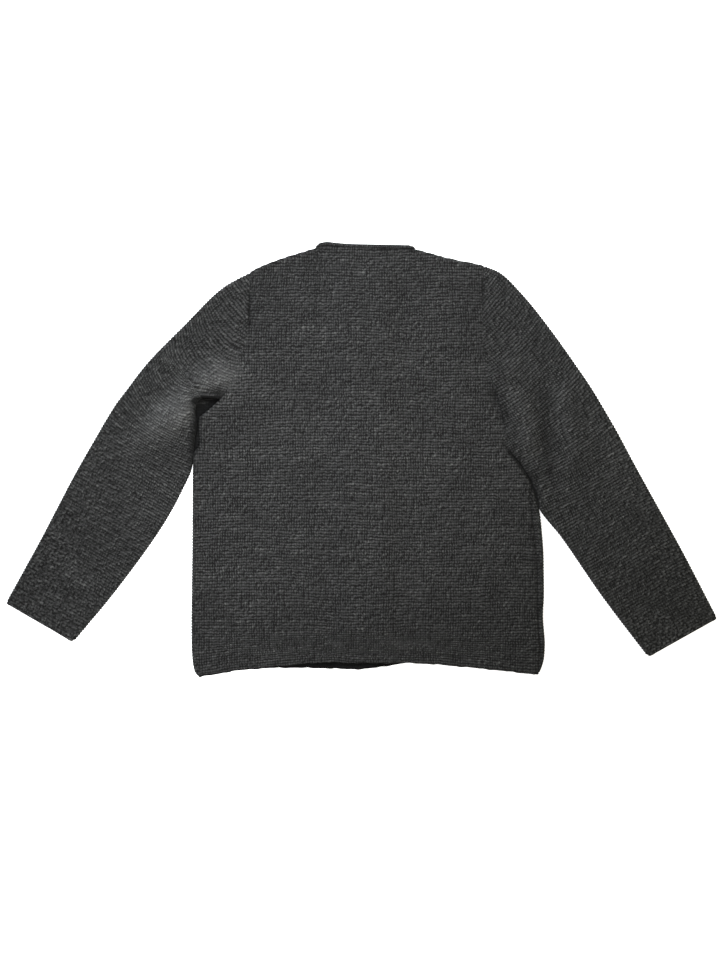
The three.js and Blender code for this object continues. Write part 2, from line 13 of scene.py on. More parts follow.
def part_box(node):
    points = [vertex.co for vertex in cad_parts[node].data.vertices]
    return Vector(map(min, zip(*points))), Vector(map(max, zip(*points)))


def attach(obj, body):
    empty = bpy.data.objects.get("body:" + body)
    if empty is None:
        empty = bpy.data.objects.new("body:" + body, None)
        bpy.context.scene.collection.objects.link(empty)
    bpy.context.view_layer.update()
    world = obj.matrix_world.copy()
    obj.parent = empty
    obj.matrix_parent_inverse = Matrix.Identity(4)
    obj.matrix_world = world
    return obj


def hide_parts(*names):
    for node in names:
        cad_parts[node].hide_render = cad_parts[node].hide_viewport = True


bl_info = {
    "name": "Knitted cardigan laid flat",
    "version": (1, 0, 0),
    "blender": (4, 5, 0),
    "location": "View3D > Sidebar > Cardigan",
    "description": "Builds a knitted wool cardigan lying on its front",
    "category": "Object",
}

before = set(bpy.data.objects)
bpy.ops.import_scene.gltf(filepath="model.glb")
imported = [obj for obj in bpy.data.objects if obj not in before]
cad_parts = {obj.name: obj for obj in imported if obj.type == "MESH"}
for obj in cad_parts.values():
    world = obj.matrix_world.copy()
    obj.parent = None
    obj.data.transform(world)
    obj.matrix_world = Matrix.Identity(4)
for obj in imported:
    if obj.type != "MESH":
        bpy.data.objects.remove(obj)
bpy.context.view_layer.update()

# Lengths below are millimetres in the garment's own plane, as its pattern is drawn:
# X from the centre-back seam to the wearer's right, Y up from the hem, Z off the table.
MM = 0.001
# Vertices this many metres apart are one
MERGED = 0.00002
CLOTH = 3.0
SEAM = 0.1
FOLD = 3.2
LOW = CLOTH / 2
HIGH = LOW + 2 * FOLD
LAYERS_APART = 3.4
SLEEVE_APART = 4.8
FOLD_REACH = FOLD + CLOTH / 2
QUARTER = math.pi * FOLD / 2 - SEAM / 2

# Buttoned fronts under the centre
PLACKET_LEFT = -20.0
PLACKET_RIGHT = 22.0
PLACKET_CENTRE = (PLACKET_LEFT + PLACKET_RIGHT) / 2
OVERLAP_STEP = 3.5
OVERLAP_START = 24.0
OVERLAP_RAMP = 62.0
PLACKET_FOOT = 30.0
PLACKET_FOOT_RUN = 60.0
PLACKET_HEAD = 605.0
PLACKET_HEAD_RUN = 45.0
BUTTON_LIFT = 3.6
BUTTON_FLAT = 24.0
BACK_OVER_PLACKET = 1.7
BUTTONS = 6
BUTTON_THICK = 3.2
BUTTON_SIDES = 48
# The rim's section from the sunk face round to the back: radius, height
BUTTON_RIM = (
    (7.2, 0.7),
    (7.8, 0.15),
    (8.8, 0.0),
    (9.6, 0.25),
    (10.0, 1.0),
    (10.0, 2.2),
    (9.5, 3.0),
    (8.5, 3.2),
    (7.2, BUTTON_THICK),
)
SHARP_ANGLE = 40
HOLES = 4
HOLE_CIRCLE = 2.6
HOLE_RADIUS = 0.9
HOLE_SIDES = 16
THREAD = 0.38
THREAD_SIDES = 10
BAR_HEIGHT = 0.42
SHANK_TOP = 4.3
BUTTON_TOP = 575.0
BUTTON_SPACING = 92.0

# Neck
NECK_LEFT = -77.5
NECK_RIGHT = 82.0
NECK_CENTRE = (NECK_LEFT + NECK_RIGHT) / 2
NECK_TURN = 9.0
FRONT_NECK_HEIGHT = 592.0
FRONT_NECK_POWER = 2.2
BAND_WIDTH = 5.5
BAND_TURN = 10.0
BAND_CORNER_LEAN = 0.75
BAND_CORNER_GAP = 1.0
BAND_SET_IN = 5.5
BAND_BACK_END = 70.0
BAND_FRONT_END = 72.0

# Edge of the back from hem to shoulder point: height, reach
LEFT_BACK_EDGE = (
    (0, 256),
    (9, 263),
    (28, 266.3),
    (70, 267.8),
    (200, 266.4),
    (307, 265.8),
    (345, 264.8),
    (352, 262.5),
    (358, 257),
    (368, 255),
    (384, 256),
    (396, 256.4),
    (404, 255.2),
    (410, 248.5),
    (434, 220),
    (454, 207.7),
    (485, 195.3),
    (516, 187.6),
    (547, 179.8),
    (586, 178.3),
    (629, 176.7),
)

# The left front spreads further out under the armpit than the back does: height, reach
LEFT_FRONT_EDGE = (
    *(row for row in LEFT_BACK_EDGE if row[0] < 352),
    (352, 264.4),
    (368, 263.6),
    (387, 260.2),
    (399, 260.6),
    (411, 262.2),
    (422.8, 260.6),
    (431, 255.8),
    (435.1, 246.4),
    (436, 226),
    *(row for row in LEFT_BACK_EDGE if row[0] > 436),
)

# Edge of the right half, shared by its back and front: height, reach
RIGHT_EDGE = (
    (0, 270),
    (9, 274.8),
    (28, 279.6),
    (50, 280.8),
    (98, 278),
    (129, 279.4),
    (183, 278.9),
    (240, 275),
    (265, 271.3),
    (285, 266.4),
    (304, 258.6),
    (333, 240.2),
    (350, 225.5),
    (360, 219.2),
    (384, 218.4),
    (408, 215.5),
    (439, 206.2),
    (477, 192.2),
    (524, 184.5),
    (586, 182.9),
    (639, 186),
)

# How far the right front wraps over the side on to the back: height, wrap
RIGHT_WRAP = (
    (0, 5),
    (43, 7.5),
    (128, 11),
    (200, 11),
    (250, 14),
    (270, 13),
    (285, 9),
    (300, 0),
    (360, 0),
)

# Shoulders and back neck from the left shoulder to the right one: x, height
BACK_TOP = (
    (-176.7, 629),
    (-167, 634.8),
    (-127, 650.8),
    (-93, 661.2),
    (-77.5, 666),
    (-57, 670.5),
    (-43, 668.8),
    (-18, 667),
    (30, 666),
    (74, 665.3),
    (82, 664),
    (135, 650.2),
    (176, 641.8),
    (186, 639),
)

# Hem of the back: x, height
BACK_HEM = (
    (-253, 4),
    (-178, 15.5),
    (-124, 19.5),
    (-51, 24.8),
    (-14, 23.5),
    (22, 23.3),
    (51, 23.3),
    (72, 22.8),
    (96, 21.7),
    (169, 15.5),
    (242, 7.8),
    (271, 4.7),
)

# Hem of the fronts: x, height
FRONT_HEM = (
    (-253, 1),
    (-178, 12.5),
    (-124, 15),
    (-51, 14),
    (-14, 13),
    (22, 16),
    (51, 20.2),
    (72, 23),
    (96, 23),
    (169, 17),
    (242, 9),
    (271, 5),
)

# Courses of each sleeve: outer x, outer y, inner x, inner y
LEFT_SLEEVE = (
    (-176.7, 629, -112, 535),
    (-217.5, 606.1, -142, 512),
    (-281.6, 544.1, -190.7, 446.4),
    (-315.7, 510, -220, 434),
    (-321, 504.8, -240, 434.2),
    (-326.5, 499, -253.5, 430.4),
    (-333.5, 491.4, -260.6, 422.5),
    (-341.5, 481.8, -262, 411),
    (-348.5, 473, -260.2, 399),
    (-355, 464.5, -260.4, 387),
    (-369.5, 445, -264.3, 367),
    (-384.8, 424.7, -264.6, 347.2),
    (-400.1, 400, -268.4, 322.4),
    (-415.4, 373.6, -281.3, 292.2),
    (-445.6, 320.9, -307.3, 244.1),
    (-502.6, 212.4, -380.4, 141.1),
    (-555.4, 116.2, -451, 55.6),
)
RIGHT_SLEEVE = (
    (186, 639, 105, 545),
    (209.5, 629.4, 120, 515),
    (244.6, 596, 132, 474),
    (286.6, 544.1, 155, 420),
    (343.6, 463.5, 219.2, 360),
    (354.2, 447.5, 224, 350),
    (368.8, 423.2, 239.8, 333.3),
    (392.2, 382.9, 258.4, 303.8),
    (417, 336.4, 272.6, 262),
    (440.7, 293, 305.8, 218.6),
    (493.7, 196.9, 367.8, 128.7),
    (548, 92.4, 441, 32.3),
)

# Soft folds that lift both layers of cloth: x1, y1, x2, y2, height, half width
FOLDS = (
    (-236, 462, -300, 404, 7, 44),
    (-300, 404, -350, 366, 3, 36),
    (218, 468, 254, 376, 5.5, 36),
    (322, 450, 334, 345, 2.5, 32),
)

# The hollow under the left armpit, where the front stays down on the table: as above
HOLLOWS = ((-232, 430, -258, 408, 5.5, 24),)

# Soft troughs in the upper layer: x1, y1, x2, y2, depth, half width
TROUGHS = (
    (276, 450, 288, 320, 2.8, 20),
    (288, 320, 297, 278, 1.6, 18),
    (204, 436, 218, 400, 2.8, 16),
    (222, 361, 252, 325, 1.6, 13),
    (252, 325, 270, 276, 1.4, 11),
    (-179, 592, -181, 550, 2, 13),
)

# Where the sleeve alone turns down towards the body's side: as above
SLEEVE_DIPS = (
    (-222, 446, -240, 444, 3, 16),
    (-240, 444, -262, 430, 6, 20),
    (-264, 430, -266, 404, 4, 14),
    (-266, 404, -270, 330, 1.6, 12),
)

# Small creases and swells that the cloth took when it was laid down, in the upper layer
# and, opposite, in the lower one: x1, y1, x2, y2, height, half width
CREASES = (
    (-246, 446, -292, 402, 2.4, 26),
    (-330, 470, -400, 350, 0.8, 24),
    (-430, 300, -500, 170, 0.6, 30),
    (246, 436, 258, 352, 1.3, 22),
    (310, 446, 322, 330, 1.5, 18),
    (430, 250, 480, 140, -0.5, 30),
    (-120, 560, -60, 470, 0.4, 50),
    (90, 330, 130, 160, -0.5, 60),
    (-190, 300, -150, 120, 0.5, 60),
    (200, 520, 232, 452, -0.8, 18),
)

# Painted shade in the creases, hollows and seams, and broad painted shade over the low back and
# the upper right of the back: x1, y1, x2, y2, share, half width
PAINTED_SHADES = (
    (-222, 446, -262, 430, 0.55, 13),
    (-240, 436, -256, 431, 0.7, 6),
    (-262, 430, -264, 384, 0.5, 10),
    (-266, 376, -268, 328, 0.55, 10),
    (214, 368, 225.5, 350, 0.4, 4),
    (225.5, 350, 240.5, 333, 0.8, 4.6),
    (240.5, 333, 259, 304, 0.85, 4.6),
    (259, 304, 266.4, 285, 0.85, 4.4),
    (266.4, 285, 271.5, 268, 0.75, 4),
    (228, 352, 262, 312, 0.3, 13),
    (262, 312, 270, 280, 0.25, 11),
    (-57, 669.5, 30, 665, 0.6, 2.6),
    (30, 665, 76, 663.5, 0.6, 2.6),
    (200, 446, 220, 402, 0.34, 17),
    (277, 440, 287, 322, 0.36, 14),
    (287, 322, 296, 275, 0.24, 12),
    (259.5, 300, 259.5, 235, 0.45, 3),
    (259.5, 235, 268, 170, 0.45, 3),
    (268, 170, 268.5, 95, 0.45, 3),
    (268.5, 95, 273, 40, 0.45, 3),
    (-230, 30, 250, 30, 0.17, 180),
    (90, 620, 180, 560, 0.12, 90),
    (-177, 597, -178, 548, 0.7, 3.4),
    (184, 630, 186, 585, 0.3, 4),
)

# Painted shadow where the fronts lie in the shade of the back and the sleeves: under the arm
# and at the hem, as above
UNDER_PAINTED_SHADES = (
    (-222, 433, -252, 413, 1.3, 15),
    (-255, 418, -258, 392, 1.3, 10),
    (-258, 388, -260, 352, 0.62, 12),
    (-250, 2, -178, 13, 0.85, 5),
    (-178, 13, -124, 16, 0.85, 6),
    (-124, 16, -51, 18, 0.9, 9),
    (-51, 18, 22, 19, 0.9, 9),
    (22, 19, 72, 23, 0.9, 7),
)

# Painted highlight where the cloth rises over a fold and on the sleeves' middles, which also
# flattens the loops there: as above
PAINTED_HIGHLIGHTS = (
    (-222, 470, -302, 404, 0.95, 52),
    (-302, 404, -350, 366, 0.35, 40),
    (-300, 470, -420, 320, 0.14, 64),
    (330, 440, 440, 280, 0.14, 64),
    (230, 440, 262, 352, 0.2, 24),
    (306, 440, 316, 330, 0.2, 18),
)

HALVES = {
    "left": {
        "side": -1,
        "back": LEFT_BACK_EDGE,
        "front": LEFT_FRONT_EDGE,
        "armpit": 434.0,
        "front_turn_end": 366.0,
        "sleeve": LEFT_SLEEVE,
        "overlap": 1.0,
        "bow": 18.0,
        "pull": (545.0, 600.0, 2.4),
    },
    "right": {
        "side": 1,
        "back": RIGHT_EDGE,
        "front": RIGHT_EDGE,
        "armpit": 360.0,
        "front_turn_end": 360.0,
        "sleeve": RIGHT_SLEEVE,
        "overlap": 0.0,
        "bow": 5.0,
        "pull": (575.0, 628.0, 1.4),
    },
}

# How far the turns, swells and free edges run, and what the courses of the sleeves keep to
TURN_RUN = 18.0
EDGE_LEAD = 3.0
YOKE = 500.0
HEM_REACH = 80.0
SHOULDER_START = 1.5
BODY_CLEAR = -0.3
TOUCH = 0.8
CALM_REACH = 34.0
CUFF_CORNER = 7.0
OUTER_CORNER = 0.45
CALM_SHIFTS = 9
CALM_START = 0.3
CALM_RUN = 0.6
UNDERARM_RUN = 6.0
TOUCH_RUN = 8.0
CLEAR_START = 1.5
CLEAR_RUN = 5.0
BOW_START = 30.0
BOW_RUN = 90.0
BOW_END_RUN = 150.0
ARMHOLE_MARGIN = 6.0
ARMHOLE_POINTS = 120
HALVINGS = 40
PULL_FULL = 0.6
CAST_OFF_REACH = 9.0
PANEL_SPAN = 180.0
SLEEVE_SPAN = 160.0
FAR_IN = 9.0
BAND_STEP = 1.2
BAND_FOLD_STEPS = 15
BAND_ACROSS = (0, 0.35, 0.9, 1.7, 2.75, 3.8, 4.6, 5.15, BAND_WIDTH)
BAND_THIN = 0.5
BAND_RIB = 1.6
EDGE_THIN = 0.12

# Waves of an edge that was cast off by hand: height, length, start
CAST_OFF = ((0.34, 3.6, 0.7), (0.3, 8.3, 0.0), (0.24, 2.3, 2.1))
# Heights of the waves of unironed cloth, of a row's sway across and along, and of ridges
BROAD_WAVE = 0.45
FINE_WAVE = 0.16
STITCH_SWAY = (1.1, 0.5)
ROW_SWAY = (1.3, 0.7, 0.4)
RIDGE_SWAY = 0.22
FOLD_RIDGE = 0.7

# Share of the painted shade below that reaches the fronts, the backs and the sleeves
FRONT_SHADE = 1.0
BACK_SHADE = 0.12
SLEEVE_SHADE = 0.5
DEEPEST_SHADE = 0.96

# A knitted ridge and a stitch, as counted in this cloth, and the mesh drawn for them
RIDGE = 4.6
STITCH = 3.86
ROW = RIDGE / 4
COLUMN = 5.2
RIM = 0.5
SIDE_CELLS = 8
SHOULDER_CELLS = 7
TUBE_CELLS = 10
# How far from a seam the cloth is drawn in, and how deep
SEAM_DRAW = 3.0
CENTRE_SEAM = 0.12
ARMHOLE_SEAM = 0.6
BAND_SEAM = 1.3
SIDE_SEAM = 1.3
# Rows that round off a free edge, by distance from it
EDGE_ROWS = (0.0, 0.35, 0.8, 1.35, 2.0)


# Sizes and colours that a user may change


def channels(text):
    """The three channels, from 0 to 1, of an sRGB hex value"""
    return tuple(int(text[k : k + 2], 16) / 255 for k in (1, 3, 5))


class CardiganSettings(bpy.types.PropertyGroup):
    """Sizes and colours of the cardigan"""

    wall: FloatProperty(
        name="Cloth thickness",
        description="Thickness of the knitted cloth",
        default=CLOTH * MM,
        min=0.001,
        max=0.004,
        unit="LENGTH",
    )
    ridge_height: FloatProperty(
        name="Ridge height",
        description="How far a knitted ridge stands out from the middle of the cloth",
        default=0.00042,
        min=0.0,
        max=0.001,
        unit="LENGTH",
    )
    wool: FloatVectorProperty(
        name="Wool",
        description="Main colour of the charcoal wool, as sRGB",
        default=channels("#3c3c3c"),
        size=3,
        subtype="COLOR_GAMMA",
    )
    wool_light: FloatVectorProperty(
        name="Light fibres",
        description="Colour of the undyed grey fibres spun into the wool, as sRGB",
        default=channels("#6b6b69"),
        size=3,
        subtype="COLOR_GAMMA",
    )
    horn: FloatVectorProperty(
        name="Horn",
        description="Main colour of the horn buttons, as sRGB",
        default=channels("#3b2b1f"),
        size=3,
        subtype="COLOR_GAMMA",
    )
    key_power: FloatProperty(
        name="Key light",
        description="Power of the large soft light",
        default=44.0,
        min=0.0,
        unit="POWER",
    )


# The garment's form


def smooth(t):
    s = np.clip(t, 0, 1)
    return s * s * (3 - 2 * s)


def mix(a, b, t):
    return a + (b - a) * t


def along(table, at):
    """A smooth curve through the rows of a table that doesn't overshoot between them"""
    keys, values = np.array(table, float).T
    at = np.clip(at, keys[0], keys[-1])
    width = np.diff(keys)
    rise = np.diff(values) / width
    before, after = rise[:-1], rise[1:]
    same = before * after > 0
    slope = np.empty(len(keys))
    slope[0], slope[-1] = rise[0], rise[-1]
    slope[1:-1] = np.where(same, 2 * before * after / np.where(same, before + after, 1), 0)
    i = np.clip(np.searchsorted(keys, at) - 1, 0, len(keys) - 2)
    s = (at - keys[i]) / width[i]
    bend = s * s * (3 - 2 * s)
    curve = mix(values[i], values[i + 1], bend)
    return curve + width[i] * s * (1 - s) * (slope[i] * (1 - s) - slope[i + 1] * s)


def ridges(table, x, y):
    """Height of the soft ridges that run between the points of a table's rows"""
    total = 0 * x
    for x1, y1, x2, y2, height, half in table:
        dx, dy = x2 - x1, y2 - y1
        t = np.clip(((x - x1) * dx + (y - y1) * dy) / (dx * dx + dy * dy), 0, 1)
        far = np.hypot(x - x1 - t * dx, y - y1 - t * dy) / half
        total = total + height * np.where(far < 1, (1 - far**2) ** 2, 0)
    return total


def painted_light(x, y, under):
    """How much painted shade and how much painted highlight the cloth gets at each point"""
    shade = ridges(PAINTED_SHADES, x, y) + under * ridges(UNDER_PAINTED_SHADES, x, y)
    highlight = ridges(PAINTED_HIGHLIGHTS, x, y)
    return np.stack([np.clip(shade, 0, DEEPEST_SHADE), np.clip(highlight, 0, 1)], -1)


def near_centre(x):
    away = np.abs(x - PLACKET_CENTRE) - BUTTON_FLAT
    return 1 - smooth(away / (OVERLAP_RAMP - BUTTON_FLAT))


def placket_lift(x, y):
    foot = smooth((y - PLACKET_FOOT) / PLACKET_FOOT_RUN)
    head = 1 - smooth((y - PLACKET_HEAD) / PLACKET_HEAD_RUN)
    return BUTTON_LIFT * near_centre(x) * foot * head


def unevenness(x, y):
    """The slight waves of a soft cloth that nobody has ironed"""
    broad = np.sin(x / 41 + 0.6 * np.sin(y / 67)) * np.sin(y / 58 + 1.1 + 0.5 * np.sin(x / 83))
    fine = np.sin(x / 17 + y / 29 + 0.4) * np.sin(y / 21 - x / 47)
    return BROAD_WAVE * broad + FINE_WAVE * fine


def low_layer(x, y):
    folds = np.maximum(ridges(FOLDS, x, y) - ridges(HOLLOWS, x, y), 0)
    return LOW + placket_lift(x, y) + folds


def front_layer(x, y, overlap):
    out = np.maximum(-x, OVERLAP_START)
    over = smooth((OVERLAP_RAMP - out) / (OVERLAP_RAMP - OVERLAP_START))
    return low_layer(x, y) + overlap * OVERLAP_STEP * over


def high_layer(x, y):
    placket = placket_lift(x, y) + BACK_OVER_PLACKET * near_centre(x)
    soft = ridges(CREASES, x, y) + unevenness(x, y)
    z = HIGH + placket + ridges(FOLDS, x, y) - ridges(TROUGHS, x, y) + soft
    return np.maximum(z, low_layer(x, y) + LAYERS_APART)


def sleeve_top(x, y):
    high = high_layer(x, y) - ridges(SLEEVE_DIPS, x, y)
    return np.maximum(high, low_layer(x, y) + SLEEVE_APART)


def fold_share(x, y, high):
    """Share of a fold's full height that there is between the layers"""
    return (high - low_layer(x, y)) / (2 * FOLD)


def fold_point(way):
    """How far out and how far down a point is that has gone some way past a fold's start"""
    half = math.pi * FOLD
    bend = np.clip(way, 0, half) / FOLD
    out = np.where(way < 0, way, np.where(way > half, half - way, FOLD * np.sin(bend)))
    return out, FOLD * (1 - np.cos(bend))


def back_top(x):
    return along(BACK_TOP, x)


def front_top(x):
    corner = np.where(x < NECK_CENTRE, back_top(NECK_LEFT), back_top(NECK_RIGHT))
    way = np.abs(x - NECK_CENTRE) / ((NECK_RIGHT - NECK_LEFT) / 2)
    rise = np.minimum(way, 1) ** FRONT_NECK_POWER
    neck = FRONT_NECK_HEIGHT + (corner - FRONT_NECK_HEIGHT) * rise
    return np.where((x <= NECK_LEFT) | (x >= NECK_RIGHT), back_top(x), neck)


def shoulder_turn(x):
    past = np.maximum(NECK_LEFT - x, x - NECK_RIGHT)
    return smooth((past + NECK_TURN) / NECK_TURN)


def normals(points):
    """The direction off the cloth at each point of a grid"""
    across = np.gradient(points, axis=1)
    down = np.gradient(points, axis=0)
    n = np.cross(across, down)
    return n / np.maximum(np.linalg.norm(n, axis=-1, keepdims=True), 1e-9)


def faced(grids, column, up):
    """The grids, turned over where needed so that the first one faces up or down there"""
    if normals(grids[0])[len(grids[0]) // 2, column, 2] * up < 0:
        return [grid[:, ::-1] for grid in grids]
    return grids


def steps(start, end, step):
    count = max(2, round(abs(end - start) / step) + 1)
    return np.linspace(start, end, count)


def wavy(x):
    """How an edge that was cast off by hand strays from its line"""
    return sum(height * np.sin(x / length + start) for height, length, start in CAST_OFF)


def groove(distance, depth):
    """How deep cloth is drawn in by a seam that far away"""
    return depth * np.clip(1 - distance / SEAM_DRAW, 0, 1) ** 2


def sleeve_inside(half, y):
    """Where the sleeve's inner edge lies at a height below the armpit"""
    rows = [(iy, ix) for _, _, ix, iy in half["sleeve"] if iy <= half["armpit"]]
    return along(sorted(rows), y)


def extra_draw(half, x, y):
    """How deep the armhole's seam draws the cloth in where it pulls most"""
    low, high, depth = half["pull"]
    middle, reach = (low + high) / 2, (high - low) / 2
    past = np.abs(y - middle) - reach * PULL_FULL
    there = 1 - smooth(past / (reach * (1 - PULL_FULL)))
    away = np.abs(half["side"] * x - along(half["back"], y))
    return groove(away, depth * there)


def rounding(distance):
    """Share of the cloth's thickness that far from a free edge, so the edge is round"""
    d = np.clip(distance / (CLOTH / 2), 0, 1)
    return np.maximum(EDGE_THIN, np.sqrt(1 - (1 - d) ** 2))


def seam_way(half, y):
    """Way past the fold's start at which the side seam lies on the back"""
    if half["side"] < 0:
        return QUARTER + 0 * y
    wrap = along(RIGHT_WRAP, y)
    return QUARTER * (1 - np.clip(wrap / FOLD_REACH, 0, 1)) - np.maximum(wrap - FOLD_REACH, 0)


def panel(half, which):
    """A back or front panel: points by row and column, and the knit's row at each"""
    back = which == "back"
    side = half["side"]
    edge = half[which]
    top = back_top if back else front_top
    turn_end = half["armpit"] if back else half["front_turn_end"]
    row = ROW if back else 2 * ROW

    def top_at(x):
        return top(x) - shoulder_turn(x) * FOLD_REACH - EDGE_LEAD

    top_edge = float(top_at(np.array(side * edge[-1][1], float)))
    shoulder = np.linspace(0, 1, SHOULDER_CELLS + 1)[1:]
    start_rows = np.array(EDGE_ROWS)
    flat_rows = np.arange(2 * RIDGE / 3, top_edge - row / 2, row)
    turned_rows = np.full(len(shoulder), top_edge)
    levels = np.concatenate([start_rows, flat_rows, [top_edge], turned_rows])
    ways = np.concatenate([np.zeros(len(levels) - len(shoulder)), shoulder])

    reach = along(edge, levels)
    lean = np.hypot(1, (along(edge, levels + 1) - along(edge, levels - 1)) / 2)
    turn = smooth((turn_end - levels) / TURN_RUN)
    seam = seam_way(half, levels)
    past = seam if back else math.pi * FOLD - SEAM - seam
    end = np.where(turn > 0, past * turn, 0)
    lead = np.minimum(0, end) - EDGE_LEAD
    fold_start = reach - (turn * FOLD_REACH + (1 - turn) * SEAM / 2) * lean
    flat_end = fold_start + lead * lean

    neck = abs(NECK_LEFT if side < 0 else NECK_RIGHT)
    if back:
        start = SEAM / 2
    else:
        start = -PLACKET_RIGHT if side < 0 else PLACKET_LEFT
    inner = np.insert(steps(start, neck, COLUMN), 1, start + RIM)
    outer_share = steps(0, 1, COLUMN / PANEL_SPAN)[1:-1]
    share = np.linspace(0, 1, SIDE_CELLS + 1 if back or side < 0 else 2 * SIDE_CELLS + 1)
    x_inner = np.repeat(inner[None], len(levels), 0)
    x_outer = mix(neck, flat_end[:, None], outer_share[None])
    out, fold_drop = fold_point(mix(lead[:, None], end[:, None], share[None]))
    x_fold = fold_start[:, None] + out * lean[:, None]
    x = side * np.concatenate([x_inner, x_outer, x_fold], 1)
    drop = np.concatenate([0 * x_inner, 0 * x_outer, fold_drop], 1)

    hem = along(BACK_HEM if back else FRONT_HEM, x)
    low = hem * (1 - smooth(levels / HEM_REACH))[:, None]
    yoke = smooth((levels - YOKE) / (top_edge - YOKE))[:, None]
    y = levels[:, None] + low + (top_at(x) - top_edge) * yoke
    arc = mix(-EDGE_LEAD, shoulder_turn(x) * QUARTER, ways[:, None])
    over, shoulder_drop = fold_point(arc)
    bent = ways[:, None] > 0
    knit = y - low + np.where(bent, EDGE_LEAD + arc, 0)
    y = y + np.where(bent, EDGE_LEAD + over, 0)
    drop = drop + np.where(bent, shoulder_drop, 0)
    y = y + wavy(x) * (1 - smooth(levels / CAST_OFF_REACH))[:, None]
    high = high_layer(x, y)
    drop = drop * fold_share(x, y, high)
    z = high - drop if back else front_layer(x, y, half["overlap"]) + drop
    thin = np.repeat(rounding(levels)[:, None], x.shape[1], 1)
    wrap = along(RIGHT_WRAP, levels) if side > 0 else 0 * levels
    side_seam = SIDE_SEAM * smooth(wrap / FOLD_REACH)
    depth = mix(ARMHOLE_SEAM, side_seam, turn)[:, None]
    drawn = groove((1 - share[None]) * (end - lead)[:, None], depth)
    drawn = np.concatenate([0 * x_inner, 0 * x_outer, drawn], 1)
    if back:
        drawn = drawn + groove(np.abs(x) - start, CENTRE_SEAM) + extra_draw(half, x, y)
        drawn = drawn + groove(top(x) - y, BAND_SEAM * (1 - shoulder_turn(x)))
    apart = side * sleeve_inside(half, y[:, :1]) - reach[:, None]
    clear = smooth((apart - CLEAR_START) / CLEAR_RUN)
    free = np.where(side * x > fold_start[:, None] - 1, clear, 1)
    points = np.stack([x, y, z], -1)
    grids = faced([points, knit, thin, drawn, free], 2, 1 if back else -1)
    grids[0] = grids[0] - normals(grids[0]) * grids[3][..., None]
    return grids[0], grids[1], grids[2], grids[4]


def sleeve_table(rows):
    """Distance down the arm of each course, and its outer and inner ends"""
    rows = np.array(rows, float)
    middle = (rows[:, :2] + rows[:, 2:]) / 2
    step = np.hypot(*np.diff(middle, axis=0).T)
    return np.concatenate([[0], np.cumsum(step)]), rows


